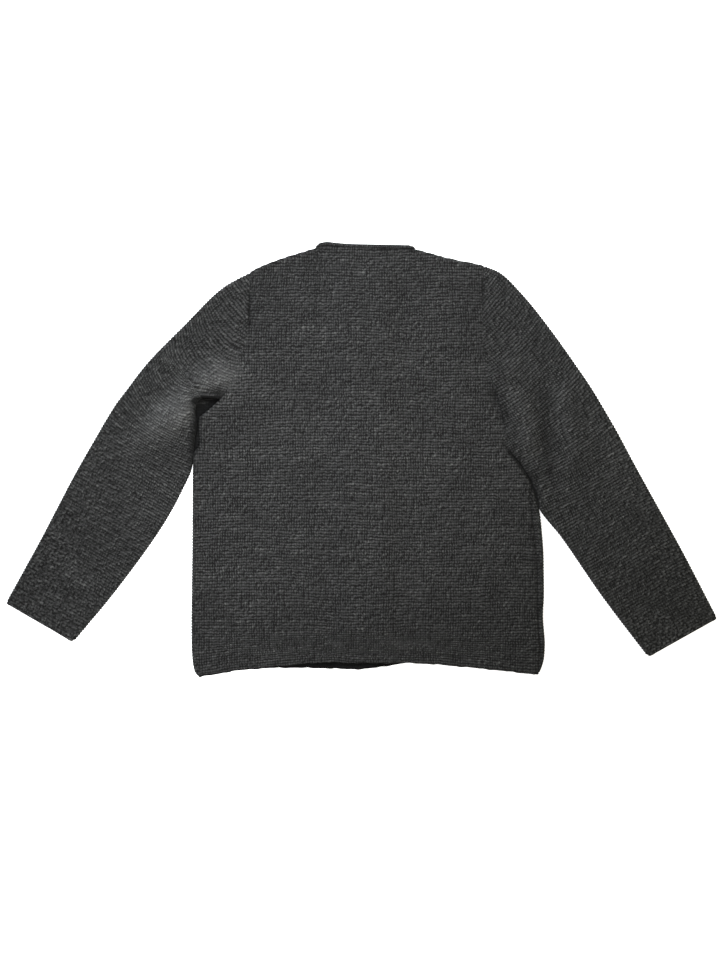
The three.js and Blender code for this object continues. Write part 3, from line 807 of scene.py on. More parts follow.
def sleeve(half):
    """A sleeve: points by course and place round it, and the knit's row at each"""
    side = half["side"]
    distances, rows = sleeve_table(half["sleeve"])

    def ends(distance):
        return [along(np.stack([distances, rows[:, k]], 1), distance) for k in range(4)]

    armpit = distances[next(k for k, row in enumerate(rows) if row[3] <= half["armpit"])]
    end = distances[-1]
    shoulder = half["back"][-1][0]
    top_height = shoulder - FOLD_REACH - EDGE_LEAD
    heights = np.linspace(half["armpit"], top_height - ARMHOLE_MARGIN, ARMHOLE_POINTS)
    px, py = side * along(half["back"], heights), heights
    near, far = 0 * heights, 0 * heights + armpit

    def side_of(distance):
        ox, oy, ix, iy = ends(distance)
        return np.sign((ix - ox) * (py - oy) - (iy - oy) * (px - ox))

    first = side_of(near)
    for _ in range(HALVINGS):
        middle = (near + far) / 2
        before = side_of(middle) == first
        near, far = np.where(before, middle, near), np.where(before, far, middle)
    crossing = np.append((near + far) / 2, SHOULDER_START)
    crossing_height = np.append(heights, top_height)
    order = np.argsort(crossing)
    crossing, crossing_height = crossing[order], crossing_height[order]

    even = np.arange(SHOULDER_START, end - EDGE_ROWS[-1] - ROW / 2, ROW)
    courses = np.concatenate([even, end - np.array(EDGE_ROWS)[::-1]])
    across = steps(0, 1, COLUMN / SLEEVE_SPAN)
    inner_share = np.linspace(1, 0, SIDE_CELLS)
    outer_share = np.linspace(0, 1, TUBE_CELLS + 1)
    # Place round the course: kind of place, its share, and how far inwards it lies
    top = [("inner", k, 1.0) for k in inner_share] + [("flat", k, k) for k in across[-2:0:-1]]
    fold = [("outer", k, 0.0) for k in outer_share]
    places = top + fold + top[::-1]
    low = np.arange(len(places)) >= len(top) + len(fold)

    inward_share = np.array([place[2] for place in places])
    ending = 1 - smooth((courses - armpit - BOW_START) / BOW_END_RUN)
    bow = half["bow"] * smooth((courses - BOW_START) / BOW_RUN) * ending
    bend = 4 * inward_share * (1 - inward_share)
    distance = courses[:, None] + bow[:, None] * bend[None]
    distance = np.clip(distance, SHOULDER_START, end)
    ox, oy = ends(distance)[:2]

    def inner_end(distance):
        """Where a course ends at the armhole, or below it beside the body"""
        _, _, ix, iy = ends(distance)
        height = np.interp(distance, crossing, crossing_height)
        reach = along(half["back"], height)
        slope = (along(half["back"], height + 1) - along(half["back"], height - 1)) / 2
        body = np.maximum(along(half["back"], iy), along(half["front"], iy))
        apart = mix(SEAM / 2, BODY_CLEAR, smooth((distance - armpit) / UNDERARM_RUN))
        gap = side * ix - body
        beside = side * (body + np.maximum(gap - TOUCH * (1 - smooth(gap / TOUCH_RUN)), apart))
        cap = distance < armpit
        ex = np.where(cap, side * (reach + SEAM * np.hypot(1, slope) / 2), beside)
        return ex, np.where(cap, height, iy), gap

    ex, ey, gap = inner_end(distance)
    calm = np.minimum(CALM_REACH, np.minimum(distance - SHOULDER_START, end - distance))
    shifts = np.linspace(-1, 1, CALM_SHIFTS)
    nearby = [inner_end(distance + shift * calm)[:2] for shift in shifts]
    calm_x, calm_y = np.mean(nearby, axis=0)
    turn = smooth((distance - armpit) / TURN_RUN)
    short = np.clip(CUFF_CORNER - (end - courses[:, None]), 0, CUFF_CORNER)
    pull = CUFF_CORNER - np.sqrt(CUFF_CORNER**2 - short**2)
    width = np.hypot(ex - ox, ey - oy)
    ax, ay = (ex - ox) / width * pull, (ey - oy) / width * pull
    ox, oy, ex, ey = ox + ax * OUTER_CORNER, oy + ay * OUTER_CORNER, ex - ax, ey - ay
    width = width - (1 + OUTER_CORNER) * pull
    flat = width - FOLD_REACH - turn * FOLD_REACH - (1 - turn) * SEAM / 2
    lead = np.minimum(EDGE_LEAD, flat / 3)
    inwards = 0 * distance
    drop = 0 * distance
    for n, (kind, share, _) in enumerate(places):
        if kind == "inner":
            out, fall = fold_point(mix(-lead[:, n], turn[:, n] * QUARTER, share))
            inwards[:, n], drop[:, n] = FOLD_REACH + flat[:, n] + out, fall
        elif kind == "flat":
            inwards[:, n] = FOLD_REACH + (flat[:, n] - lead[:, n]) * share
        else:
            out, fall = fold_point(np.array(math.pi * FOLD * share))
            inwards[:, n], drop[:, n] = FOLD_REACH - out, fall
    # Away from the underarm the courses run smoothly past the bends of the inner edge
    near = smooth((inwards / width - CALM_START) / CALM_RUN)
    x = ox + mix(calm_x - ox, ex - ox, near) / width * inwards
    y = oy + mix(calm_y - oy, ey - oy, near) / width * inwards
    high = sleeve_top(x, y)
    drop = drop * fold_share(x, y, high)
    z = np.where(low[None], low_layer(x, y) + drop, high - drop)
    thin = np.repeat(rounding(end - courses)[:, None], len(places), 1)
    knit = np.repeat(courses[:, None], len(places), 1)
    reach_in = [1 - place[1] if place[0] == "inner" else FAR_IN for place in places]
    away = np.array(reach_in)[None] * (lead + turn * QUARTER)
    drawn = groove(away, ARMHOLE_SEAM * (1 - turn))
    drawn = drawn + extra_draw(half, x, y) * ~low[None]
    inside = np.array([place[0] == "inner" for place in places])[None]
    clear = smooth((gap - CLEAR_START) / CLEAR_RUN)
    free = np.where(inside & (distance > armpit), clear, 1)
    points = np.stack([x, y, z], -1)
    grids = faced([points, knit, thin, drawn, free], len(top) // 2, 1)
    grids[0] = grids[0] - normals(grids[0]) * grids[3][..., None]
    return grids[0], grids[1], grids[2], grids[4]


def neckband():
    """The narrow band round the neck: points by station and place across it"""
    rows = []
    for side in (-1, 1):
        corner = NECK_LEFT if side < 0 else NECK_RIGHT
        x_back = side * steps(SEAM / 2, BAND_BACK_END, BAND_STEP)
        angle = np.linspace(0, math.pi, BAND_FOLD_STEPS)[1:-1]
        x_fold = corner - side * (BAND_SET_IN - FOLD * np.sin(angle))
        front_end = PLACKET_RIGHT - SEAM
        x_front = steps(-BAND_FRONT_END, front_end, BAND_STEP)
        if side > 0:
            x_front = 2 * PLACKET_CENTRE - x_front
        x = np.concatenate([x_back, x_fold, x_front])
        kind = np.repeat([0, 1, 2], [len(x_back), len(x_fold), len(x_front)])
        past = smooth((side * (x - corner) + BAND_TURN) / BAND_TURN)
        steep = np.arctan(np.abs(front_top(x + 0.5) - front_top(x - 0.5)))
        outward = np.where((kind == 2) & (side * (x - NECK_CENTRE) < 0), side, -side)
        leans = [BAND_CORNER_LEAN * past, BAND_CORNER_LEAN + 0 * x, steep]
        lean = outward * np.choose(kind, leans)
        out = np.stack([np.sin(lean), np.cos(lean), 0 * x], -1)
        base = np.where(kind == 2, front_top(x), back_top(x))
        level = np.zeros(len(x))
        level[kind == 1] = LOW + FOLD + FOLD * np.cos(angle)
        front = front_layer(x, base, 1.0 if side < 0 else 0.0)
        height = np.choose(kind, [high_layer(x, base), level, front])
        clear = (SEAM + BAND_CORNER_GAP * past)[:, None]
        foot = np.stack([x, base, height], -1) + out * clear
        across = np.array(BAND_ACROSS)
        strip = foot[:, None] + out[:, None] * across[None, :, None]
        rows.append(strip[::-1] if side < 0 else strip)
    points = np.concatenate(rows)
    edge = np.minimum(across, BAND_WIDTH - across)
    thin = np.repeat(np.maximum(rounding(edge), BAND_THIN)[None], len(points), 0)
    return points, thin


# Meshes


def button_shift():
    """From the pattern's plane to the frame, by where the top button lies"""
    low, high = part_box("button_1")
    middle = (Vector(low) + Vector(high)) / 2 / MM
    return np.array([middle.x - PLACKET_CENTRE, middle.y - BUTTON_TOP, 0.0])


SHIFT = button_shift()


def lengthwise(points, start):
    """Distance along each row of a grid from one of its columns"""
    step = np.linalg.norm(np.diff(points, axis=1), axis=-1)
    way = np.concatenate([np.zeros((len(points), 1)), np.cumsum(step, 1)], 1)
    x, y = points[..., 0], points[..., 1]
    broad, fine = STITCH_SWAY
    sway = broad * np.sin(y / 59 + 1.2 * np.sin(x / 71)) + fine * np.sin(y / 14 + x / 37)
    return way - way[:, start : start + 1] + sway


def centre_column(points):
    return int(np.argmin(np.abs(points[0, :, 0])))


def outer_column(points):
    return points.shape[1] // 2


def ridged(points, knit, free, height):
    """The grid with its knitted ridges raised, a little unevenly, and more round a fold"""
    x, y = points[..., 0], points[..., 1]
    off = normals(points)
    height = height * free * (1 + FOLD_RIDGE * (1 - np.abs(off[..., 2])))
    broad, middle, fine = ROW_SWAY
    row = knit + broad * np.sin(x / 67 + 1.4 * np.sin(y / 83))
    row = row + middle * np.sin(x / 29 + y / 47)
    row = row + fine * np.sin(x / 12.7 + 2.1 * np.sin(y / 19))
    patch = np.sin(x / 9.7 + 2 * np.sin(knit / 23)) * np.sin(knit / 7.3)
    uneven = 1 + RIDGE_SWAY * patch
    wave = np.cos(2 * math.pi * row / RIDGE) * uneven
    return points + off * (height * wave)[..., None], row


def cloth_object(name, points, along_row, row, thin, look, settings):
    """A wall of cloth on a grid of points, with a UV map in stitches and ridges, and one that
    holds its painted shade and painted highlight"""
    rows, columns = points.shape[:2]
    bm = bmesh.new()
    bmesh.ops.create_grid(bm, x_segments=columns - 1, y_segments=rows - 1, size=1)
    uv = bm.loops.layers.uv.new("knit")
    painted_light_uv = bm.loops.layers.uv.new("look")
    points[..., 2] = np.maximum(points[..., 2], LOW)
    weight = bm.verts.layers.deform.verify()
    placed = (points + SHIFT) * MM
    stitches = np.stack([along_row / STITCH, row / RIDGE], -1)
    cell = {}
    for vertex in bm.verts:
        i = round((vertex.co.y + 1) / 2 * (rows - 1))
        j = round((vertex.co.x + 1) / 2 * (columns - 1))
        cell[vertex] = (i, j)
    for vertex, (i, j) in cell.items():
        vertex.co = placed[i, j]
        vertex[weight][0] = thin[i, j]
    for face in bm.faces:
        face.smooth = True
        for loop in face.loops:
            loop[uv].uv = stitches[cell[loop.vert]]
            loop[painted_light_uv].uv = look[cell[loop.vert]]
    mesh = bpy.data.meshes.new(name)
    bm.to_mesh(mesh)
    bm.free()
    piece = link(name, mesh)
    piece.vertex_groups.new(name="thickness")
    wall = piece.modifiers.new("wall", "SOLIDIFY")
    wall.thickness = settings.wall
    wall.offset = 0
    wall.vertex_group = "thickness"
    wall.use_rim = True
    applied(piece)
    return piece


def link(name, mesh):
    piece = bpy.data.objects.new(name, mesh)
    bpy.context.scene.collection.objects.link(piece)
    return piece


def applied(piece):
    """The piece with its modifiers made part of its mesh"""
    graph = bpy.context.evaluated_depsgraph_get()
    mesh = bpy.data.meshes.new_from_object(piece.evaluated_get(graph))
    mesh.name = piece.name
    old = piece.data
    piece.modifiers.clear()
    piece.vertex_groups.clear()
    piece.data = mesh
    bpy.data.meshes.remove(old)


# Materials


def linear(colour):
    """An sRGB colour, as a hex string or three numbers, as linear RGBA"""
    if isinstance(colour, str):
        colour = channels(colour)
    turned = [c / 12.92 if c <= 0.04045 else ((c + 0.055) / 1.055) ** 2.4 for c in colour]
    return (*turned, 1.0)


def node(tree, kind, *values, outlet=0, **settings):
    """Add a node, with its operation after a dot, its settings, and its sockets' values in
    order or by name, each a number or another node's outlet; give back one of its outlets"""
    kind, _, operation = kind.partition(".")
    made = tree.nodes.new("ShaderNode" + kind)
    if operation:
        made.operation = operation
    for name, value in settings.items():
        setattr(made, name, value)
    named = values and isinstance(values[0], dict)
    for name, value in (values[0] if named else dict(enumerate(values))).items():
        socket = made.inputs[name]
        if isinstance(value, bpy.types.NodeSocket):
            tree.links.new(value, socket)
        else:
            socket.default_value = value
    return made.outputs[outlet] if made.outputs else None


def start_material(name):
    """An empty material, and the function that adds nodes to it"""
    material = bpy.data.materials.new(name)
    material.use_nodes = True
    material.node_tree.nodes.clear()
    return material, partial(node, material.node_tree)


def with_stops(ramp, first, last, *middle):
    """Give a colour ramp its stops, each a position and a colour"""
    stops = ramp.node.color_ramp.elements
    for stop, (position, colour) in zip(stops, (first, last)):
        stop.position, stop.color = position, linear(colour)
    for position, colour in middle:
        stops.new(position).color = linear(colour)
    return ramp


def shown(add, pattern, share):
    """The pattern where share is 1, and plain 1 where it is 0"""
    hidden = add("Math.MULTIPLY", add("Math.SUBTRACT", 1.0, pattern), share)
    return add("Math.SUBTRACT", 1.0, hidden)


def wave(add, way, start):
    """From 0 to 1 and back for each unit of way, highest at start"""
    angle = add("Math.MULTIPLY", add("Math.SUBTRACT", way, start), 2 * math.pi)
    return add("Math.ADD", add("Math.MULTIPLY", add("Math.COSINE", angle), 0.5), 0.5)


# Sizes of the wool's patterns, in stitches and ridges unless the name says metres
ASTRAY_SCALE = 0.75
ASTRAY = (1.25, 1.0, 0.0)
FIBRES_IN_LOOP = (5.0, 9.0, 1.0)
LOTS_PER_METRE = 14.0
RUN_LENGTH = 0.4
RUN_SHIFT = 3.7
PULL_SCALE = 0.16
NAP_SCALE = 1.15
FELT_SCALE = 0.04
# Share of each in the wool's tone: a loop, a run of yarn, fibres, a lot of wool, a row
LOOP_TONE = 0.3
RUN_TONE = 0.13
FIBRE_TONE = 0.5
LOT_TONE = 0.22
ROW_TONE = 0.08
# Positions of the tones from dark to light, and how dark or light they are
DARK_TONE = (0.30, 0.66)
MIDDLE_TONE = 0.60
LIGHT_TONE = (0.76, 1.22)
# Ranges: what goes in, and what it is turned to
PULL_RANGE = (0.36, 0.62)
ROWS_SHOW = (0.72, 0.97)
COLUMNS_SHOW = (0.88, 0.42)
HIGHLIGHT_PLAIN = 0.45
NAP_RANGE = (0.36, 0.64, 0.0, 1.0)
FELT_RANGE = (0.4, 0.6, 0.6, 1.0)
RUBBED_RANGE = (0.3, 0.46, 0.1, 0.72)
GAP_RANGE = (0.0, 1.0, 0.5, 2.4)
OCCLUSION_RANGE = (0.45, 0.96, 0.04, 1.0)
# How strongly the painted shade darkens creases, and how much the painted highlight brightens
CREASE_SHADE_POWER = 1.7
HIGHLIGHT_GAIN = 0.75
# Share of the wool's colour that is left in the gaps between loops, as painted shade
DEPTH_SHARE = 0.07
# Depth in metres to which painted shade darkens the wool in creases
CREASE_SHADE_REACH = 0.018
# Depth in metres of the relief of the body's loops and of the band's finer ones
LOOP_DEPTH = 0.0007
BAND_LOOP_DEPTH = 0.0006


def knitted_wool(name, settings, loop_depth):
    """Charcoal lambswool knitted in ridges and lightly felted: matt, hairy and flecked, with
    each ridge a row of small loops, darker in the valleys where the light doesn't reach"""
    material, add = start_material(name)
    flat = {"noise_dimensions": "2D"}
    knit = add("UVMap", uv_map="knit")
    place = add("TexCoord", outlet="Object")
    # Stitches sit a little out of line, as soft yarn lets them
    noise = {"Vector": knit, "Scale": ASTRAY_SCALE, "Detail": 2.0}
    astray = add("TexNoise", noise, outlet="Color", **flat)
    astray = add("VectorMath.SUBTRACT", astray, (0.5, 0.5, 0.5))
    strayed = add("VectorMath.ADD", knit, add("VectorMath.MULTIPLY", astray, ASTRAY))
    stitch, ridge = add("SeparateXYZ", strayed).node.outputs[:2]

    # A ridge is a row of purl loops side by side, each a little lighter or darker
    course = add("Math.FLOOR", add("Math.ADD", ridge, 0.5))
    cell = add("CombineXYZ", add("Math.FLOOR", stitch), course)
    loop_tone = add("TexWhiteNoise", {"Vector": cell}, **flat)
    row_tone = add("TexWhiteNoise", {"W": course}, noise_dimensions="1D")
    crown = wave(add, ridge, 0.0)
    loop = wave(add, stitch, 0.5)

    # Fibres of about 0.4 mm bundles, drawn out along the yarn
    fibre_place = add("Mapping", {"Vector": knit, "Scale": FIBRES_IN_LOOP})
    noise = {"Vector": fibre_place, "Scale": 1.0, "Detail": 4.0, "Roughness": 0.7}
    fibres = add("TexNoise", noise, **flat)
    # Lots of wool a few centimetres across that took the dye a little differently
    lots = add("TexNoise", {"Vector": place, "Scale": LOTS_PER_METRE, "Detail": 3.0})

    # The yarn's own tone runs on over two or three loops
    shifted = add("Math.ADD", add("Math.MULTIPLY", stitch, RUN_LENGTH), row_tone)
    run = add("Math.FLOOR", add("Math.MULTIPLY_ADD", row_tone, RUN_SHIFT, shifted))
    run_tone = add("TexWhiteNoise", {"Vector": add("CombineXYZ", run, course)}, **flat)

    tone = add("Math.MULTIPLY", loop_tone, LOOP_TONE)
    parts = ((run_tone, RUN_TONE), (fibres, FIBRE_TONE), (lots, LOT_TONE), (row_tone, ROW_TONE))
    for part, share in parts:
        tone = add("Math.ADD", tone, add("Math.MULTIPLY", part, share))
    base = Vector(settings.wool)
    yarn = with_stops(
        add("ValToRGB", tone),
        (DARK_TONE[0], base * DARK_TONE[1]),
        (1.0, settings.wool_light),
        (MIDDLE_TONE, base),
        (LIGHT_TONE[0], base * LIGHT_TONE[1]),
    )

    # Light reaches the loops on a ridge, and little of it the gaps between them; where the
    # cloth is pulled the ridges show more, and elsewhere the columns
    pulled = add("TexNoise", {"Vector": knit, "Scale": PULL_SCALE, "Detail": 2.0}, **flat)
    rows_show = add("MapRange", pulled, *PULL_RANGE, *ROWS_SHOW)
    columns_show = add("MapRange", pulled, *PULL_RANGE, *COLUMNS_SHOW)
    # The look map holds the painted shade and the painted highlight
    look = add("SeparateXYZ", add("UVMap", uv_map="look"))
    painted_shade, highlighted = look.node.outputs[:2]
    along_ridge = shown(add, loop, columns_show)
    lit = add("Math.MULTIPLY", along_ridge, shown(add, crown, rows_show))
    # Under the painted highlight the loops' painted shade fades
    plain = add("Math.MULTIPLY", highlighted, HIGHLIGHT_PLAIN)
    lit = shown(add, lit, add("Math.SUBTRACT", 1.0, plain))
    # Towards the cuffs, which rub most, a felted nap hides the loops under a fine mottling
    nap = add("TexNoise", {"Vector": knit, "Scale": NAP_SCALE, "Detail": 1.0}, **flat)
    nap = add("MapRange", nap, *NAP_RANGE)
    felted = add("TexNoise", {"Vector": knit, "Scale": FELT_SCALE, "Detail": 2.0}, **flat)
    felted = add("MapRange", felted, *FELT_RANGE)
    out = add("Math.ABSOLUTE", add("SeparateXYZ", place))
    felted = add("Math.MULTIPLY", felted, add("MapRange", out, *RUBBED_RANGE))
    lit = add("Mix", {0: felted, 2: lit, 3: nap})
    # The painted shade in some of the gaps between loops is darker than in others
    corner = add("VectorMath.FLOOR", add("VectorMath.ADD", strayed, (0.5, 0.0, 0.0)))
    gap_tone = add("TexWhiteNoise", {"Vector": corner}, **flat)
    open_share = add("Math.POWER", lit, add("MapRange", gap_tone, *GAP_RANGE))
    gap = {0: 1.0, 6: yarn, 7: (DEPTH_SHARE, DEPTH_SHARE, DEPTH_SHARE, 1)}
    gap = add("Mix", gap, outlet=2, data_type="RGBA", blend_type="MULTIPLY")
    colour = add("Mix", {0: open_share, 6: gap, 7: yarn}, outlet=2, data_type="RGBA")

    # Painted shade: the colour is darkened where ambient occlusion finds a fold or a seam, and
    # by the painted shade of the look map; the painted highlight brightens it
    occlusion = add("AmbientOcclusion", {"Distance": CREASE_SHADE_REACH}, outlet="AO", samples=4)
    light = add("Math.POWER", add("MapRange", occlusion, *OCCLUSION_RANGE), CREASE_SHADE_POWER)
    light = add("Math.MULTIPLY", light, add("Math.SUBTRACT", 1.0, painted_shade))
    brightened = add("Math.MULTIPLY_ADD", highlighted, HIGHLIGHT_GAIN, 1.0)
    light = add("Math.MULTIPLY", light, brightened)
    colour = add("VectorMath.SCALE", {0: colour, "Scale": light})

    height = add("Math.ADD", lit, add("Math.MULTIPLY", fibres, FIBRE_TONE))
    bump = add("Bump", {"Height": height, "Distance": loop_depth, "Strength": 0.9})
    surface = {
        "Base Color": colour,
        "Roughness": 0.95,
        "IOR": 1.54,
        "Specular IOR Level": 0.15,
        "Sheen Weight": 0.1,
        "Sheen Roughness": 0.5,
        "Sheen Tint": linear("#8c8c8a"),
        "Normal": bump,
    }
    add("OutputMaterial", {"Surface": add("BsdfPrincipled", surface)})
    return material


# The streaks of horn: how many to a metre across, along and through a button
STREAKS = (900.0, 160.0, 400.0)
# Turns of thread to a metre
TWISTS = 2500.0


def polished_horn(settings):
    """Buffalo horn, turned and polished: dark brown with lighter streaks, satin"""
    material, add = start_material("polished_horn")
    place = add("TexCoord", outlet="Object")
    drawn = add("Mapping", {"Vector": place, "Scale": STREAKS})
    noise = {"Vector": drawn, "Scale": 1.0, "Detail": 5.0, "Distortion": 0.8}
    streaks = add("TexNoise", noise)
    base = Vector(settings.horn)
    stops = (0.35, base * 0.5), (0.72, base * 1.7), (0.52, base)
    colour = with_stops(add("ValToRGB", streaks), *stops)
    bump = add("Bump", {"Height": streaks, "Distance": 0.00006})
    surface = {"Base Color": colour, "Roughness": 0.34, "IOR": 1.55, "Normal": bump}
    add("OutputMaterial", {"Surface": add("BsdfPrincipled", surface)})
    return material


def button_thread():
    """Strong twisted linen thread, dark grey and nearly matt, as fine bumps along it"""
    material, add = start_material("linen_thread")
    place = add("TexCoord", outlet="Object")
    twist = add("TexNoise", {"Vector": place, "Scale": TWISTS, "Detail": 2.0})
    colour = with_stops(add("ValToRGB", twist), (0.0, "#1d1c1a"), (1.0, "#4a4844"))
    bump = add("Bump", {"Height": twist, "Distance": 0.0001})
    surface = {"Base Color": colour, "Roughness": 0.8, "Normal": bump}
    add("OutputMaterial", {"Surface": add("BsdfPrincipled", surface)})
    return material


def lit_table(name, colour, glow):
    """A pale table of opal glass lit from below, as photographers use for cut-outs"""
    material, add = start_material(name)
    surface = {
        "Base Color": linear(colour),
        "Roughness": 0.8,
        "Specular IOR Level": 0.2,
        "Emission Color": linear(colour),
        "Emission Strength": glow,
    }
    add("OutputMaterial", {"Surface": add("BsdfPrincipled", surface)})
    return material


def wool_material(settings):
    name = "ridged_lambswool"
    return bpy.data.materials.get(name) or knitted_wool(name, settings, LOOP_DEPTH)


def finish_cloth(piece, material, node_name):
    piece.data.materials.clear()
    piece.data.materials.append(material)
    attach(piece, "root")
    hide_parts(node_name)


# Operators


def knitted_piece(name, grids, shade, column, settings):
    """A panel or a sleeve, knitted from its grids and in its place"""
    points, knit, thin, free = grids
    look = painted_light(points[..., 0], points[..., 1], shade)
    points, row = ridged(points, knit, free, settings.ridge_height / MM)
    along_row = lengthwise(points, column(points))
    piece = cloth_object(f"knit_{name}", points, along_row, row, thin, look, settings)
    finish_cloth(piece, wool_material(settings), name)
    return piece


class CARDIGAN_OT_fronts(bpy.types.Operator):
    """Make the two buttoned fronts that the garment lies on"""

    bl_idname = "cardigan.fronts"
    bl_label = "Fronts"

    def execute(self, context):
        for name, half in HALVES.items():
            grids = panel(half, "front")
            piece = knitted_piece(
                f"front_{name}", grids, FRONT_SHADE, centre_column, context.scene.cardigan
            )
        return {"FINISHED"}


class CARDIGAN_OT_backs(bpy.types.Operator):
    """Make the two halves of the back, joined by the seam down the centre"""

    bl_idname = "cardigan.backs"
    bl_label = "Backs"

    def execute(self, context):
        for name, half in HALVES.items():
            grids = panel(half, "back")
            piece = knitted_piece(
                f"back_{name}", grids, BACK_SHADE, centre_column, context.scene.cardigan
            )
        return {"FINISHED"}


class CARDIGAN_OT_sleeves(bpy.types.Operator):
    """Make the two set-in sleeves, folded flat along the arm"""

    bl_idname = "cardigan.sleeves"
    bl_label = "Sleeves"

    def execute(self, context):
        for name, half in HALVES.items():
            grids = sleeve(half)
            piece = knitted_piece(
                f"sleeve_{name}", grids, SLEEVE_SHADE, outer_column, context.scene.cardigan
            )
        return {"FINISHED"}


class CARDIGAN_OT_neckband(bpy.types.Operator):
    """Make the narrow band round the neck"""

    bl_idname = "cardigan.neckband"
    bl_label = "Neckband"

    def execute(self, context):
        settings = context.scene.cardigan
        points, thin = neckband()
        across = lengthwise(points, 0)
        middle = points[:, points.shape[1] // 2]
        way = np.cumsum(np.linalg.norm(np.diff(middle, axis=0), axis=-1))
        row = np.repeat(np.concatenate([[0], way])[:, None], points.shape[1], 1) * BAND_RIB
        look = np.zeros((*points.shape[:2], 2))
        piece = cloth_object("knit_neckband", points, across, row, thin, look, settings)
        material = knitted_wool("ribbed_lambswool", settings, BAND_LOOP_DEPTH)
        finish_cloth(piece, material, "neckband")
        return {"FINISHED"}


class CARDIGAN_OT_buttons(bpy.types.Operator):
    """Make the horn buttons and the thread that holds them"""

    bl_idname = "cardigan.buttons"
    bl_label = "Buttons"

    def execute(self, context):
        settings = context.scene.cardigan
        horn = polished_horn(settings)
        thread = button_thread()
        for n in range(BUTTONS):
            place = np.array([PLACKET_CENTRE, BUTTON_TOP - n * BUTTON_SPACING, 0.0]) + SHIFT
            name = f"horn_button_{n + 1}"
            piece = link(name, button_mesh(name, place * MM))
            piece.data.materials.append(horn)
            piece.data.materials.append(thread)
            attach(piece, "root")
            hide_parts(f"button_{n + 1}")
        return {"FINISHED"}


def strand(bm, start, end, radius):
    """A round length of thread between two places in millimetres"""
    start, end = Vector(start) * MM, Vector(end) * MM
    way = end - start
    turn = way.to_track_quat("Z", "Y").to_matrix().to_4x4()
    bmesh.ops.create_cone(
        bm,
        cap_ends=True,
        segments=THREAD_SIDES,
        radius1=radius * MM,
        radius2=radius * MM,
        depth=way.length,
        matrix=Matrix.Translation((start + end) / 2) @ turn,
    )


def sewn(bm):
    """Two bars of thread through the button's holes, and the thread's shank behind it"""
    first = len(bm.faces)
    hole = HOLE_CIRCLE * math.sqrt(0.5)
    for side in (-1, 1):
        y = side * hole
        strand(bm, (-hole, y, BAR_HEIGHT), (hole, y, BAR_HEIGHT), THREAD)
        for x in (-hole, hole):
            strand(bm, (x, y, BAR_HEIGHT), (x, y, BUTTON_THICK), THREAD)
            strand(bm, (x, y, BUTTON_THICK), (0, 0, SHANK_TOP), THREAD)
    bm.faces.ensure_lookup_table()
    for face in bm.faces[first:]:
        face.material_index = 1


def button_mesh(name, place):
    """A turned button: a rounded rim round a sunk middle with four holes"""
    bm = bmesh.new()
    profile = [bm.verts.new((x * MM, 0, z * MM)) for x, z in BUTTON_RIM]
    edges = [bm.edges.new(pair) for pair in zip(profile, profile[1:])]
    bmesh.ops.spin(
        bm,
        geom=profile + edges,
        cent=(0, 0, 0),
        axis=(0, 0, 1),
        angle=2 * math.pi,
        steps=BUTTON_SIDES,
        use_merge=True,
    )
    layers = []
    for radius, z in (BUTTON_RIM[0], BUTTON_RIM[-1]):
        ring = bmesh.ops.create_circle(bm, segments=BUTTON_SIDES, radius=radius * MM)["verts"]
        holes = []
        for k in range(HOLES):
            angle = (k + 0.5) * 2 * math.pi / HOLES
            hole = bmesh.ops.create_circle(bm, segments=HOLE_SIDES, radius=HOLE_RADIUS * MM)
            circle = hole["verts"]
            shift = Vector((math.cos(angle), math.sin(angle), 0)) * HOLE_CIRCLE * MM
            bmesh.ops.translate(bm, verts=circle, vec=shift)
            holes += circle
        bmesh.ops.translate(bm, verts=ring + holes, vec=(0, 0, z * MM))
        # Each edge once, always in the same order, so that every run gives the same faces
        loops = list(dict.fromkeys(e for vertex in ring + holes for e in vertex.link_edges))
        bmesh.ops.triangle_fill(bm, use_beauty=True, edges=loops, normal=(0, 0, 1))
        layers.append(holes)
    # The walls of the holes join the two faces
    for k in range(0, len(layers[0]), HOLE_SIDES):
        low, high = (layer[k : k + HOLE_SIDES] for layer in layers)
        for i in range(HOLE_SIDES):
            bm.faces.new((low[i], low[i - 1], high[i - 1], high[i]))
    bmesh.ops.remove_doubles(bm, verts=bm.verts, dist=MERGED)
    bmesh.ops.recalc_face_normals(bm, faces=bm.faces)
    sewn(bm)
    for face in bm.faces:
        face.smooth = True
    bmesh.ops.translate(bm, verts=bm.verts, vec=place)
    mesh = bpy.data.meshes.new(name)
    bm.to_mesh(mesh)
    bm.free()
    mesh.set_sharp_from_angle(angle=math.radians(SHARP_ANGLE))
    return mesh


TABLE_SIZE = 40
TABLE_DROP = 0.0005
TABLE_GLOW = 1.0
ROOM_LIGHT = 0.12
SENSOR = 36
CAMERA_HEIGHT = 2.5
# The photograph in pixels: its middle, its height, and where the garment's own plane starts
PHOTO_MIDDLE = (360, 480)
PHOTO_TALL = 960
SEAM_PIXEL = 364
HEM_PIXEL = 678
# Millimetres of garment to a pixel
PIXEL = 1.55
# Lights: name, place in metres, width and depth, share of the key's power, colour
LIGHTS = (
    ("window", (-0.65, 1.5, 1.3), (0.6, 0.6), 1.0, (0.9, 0.955, 1.0)),
    ("overhead_panel", (-0.12, 0.06, 0.5), (1.7, 0.25), 0.19, (0.97, 0.985, 1.0)),
    ("warm_wall", (2.2, -0.5, 1.3), (1.0, 1.0), 0.6, (1.0, 0.95, 0.72)),
)


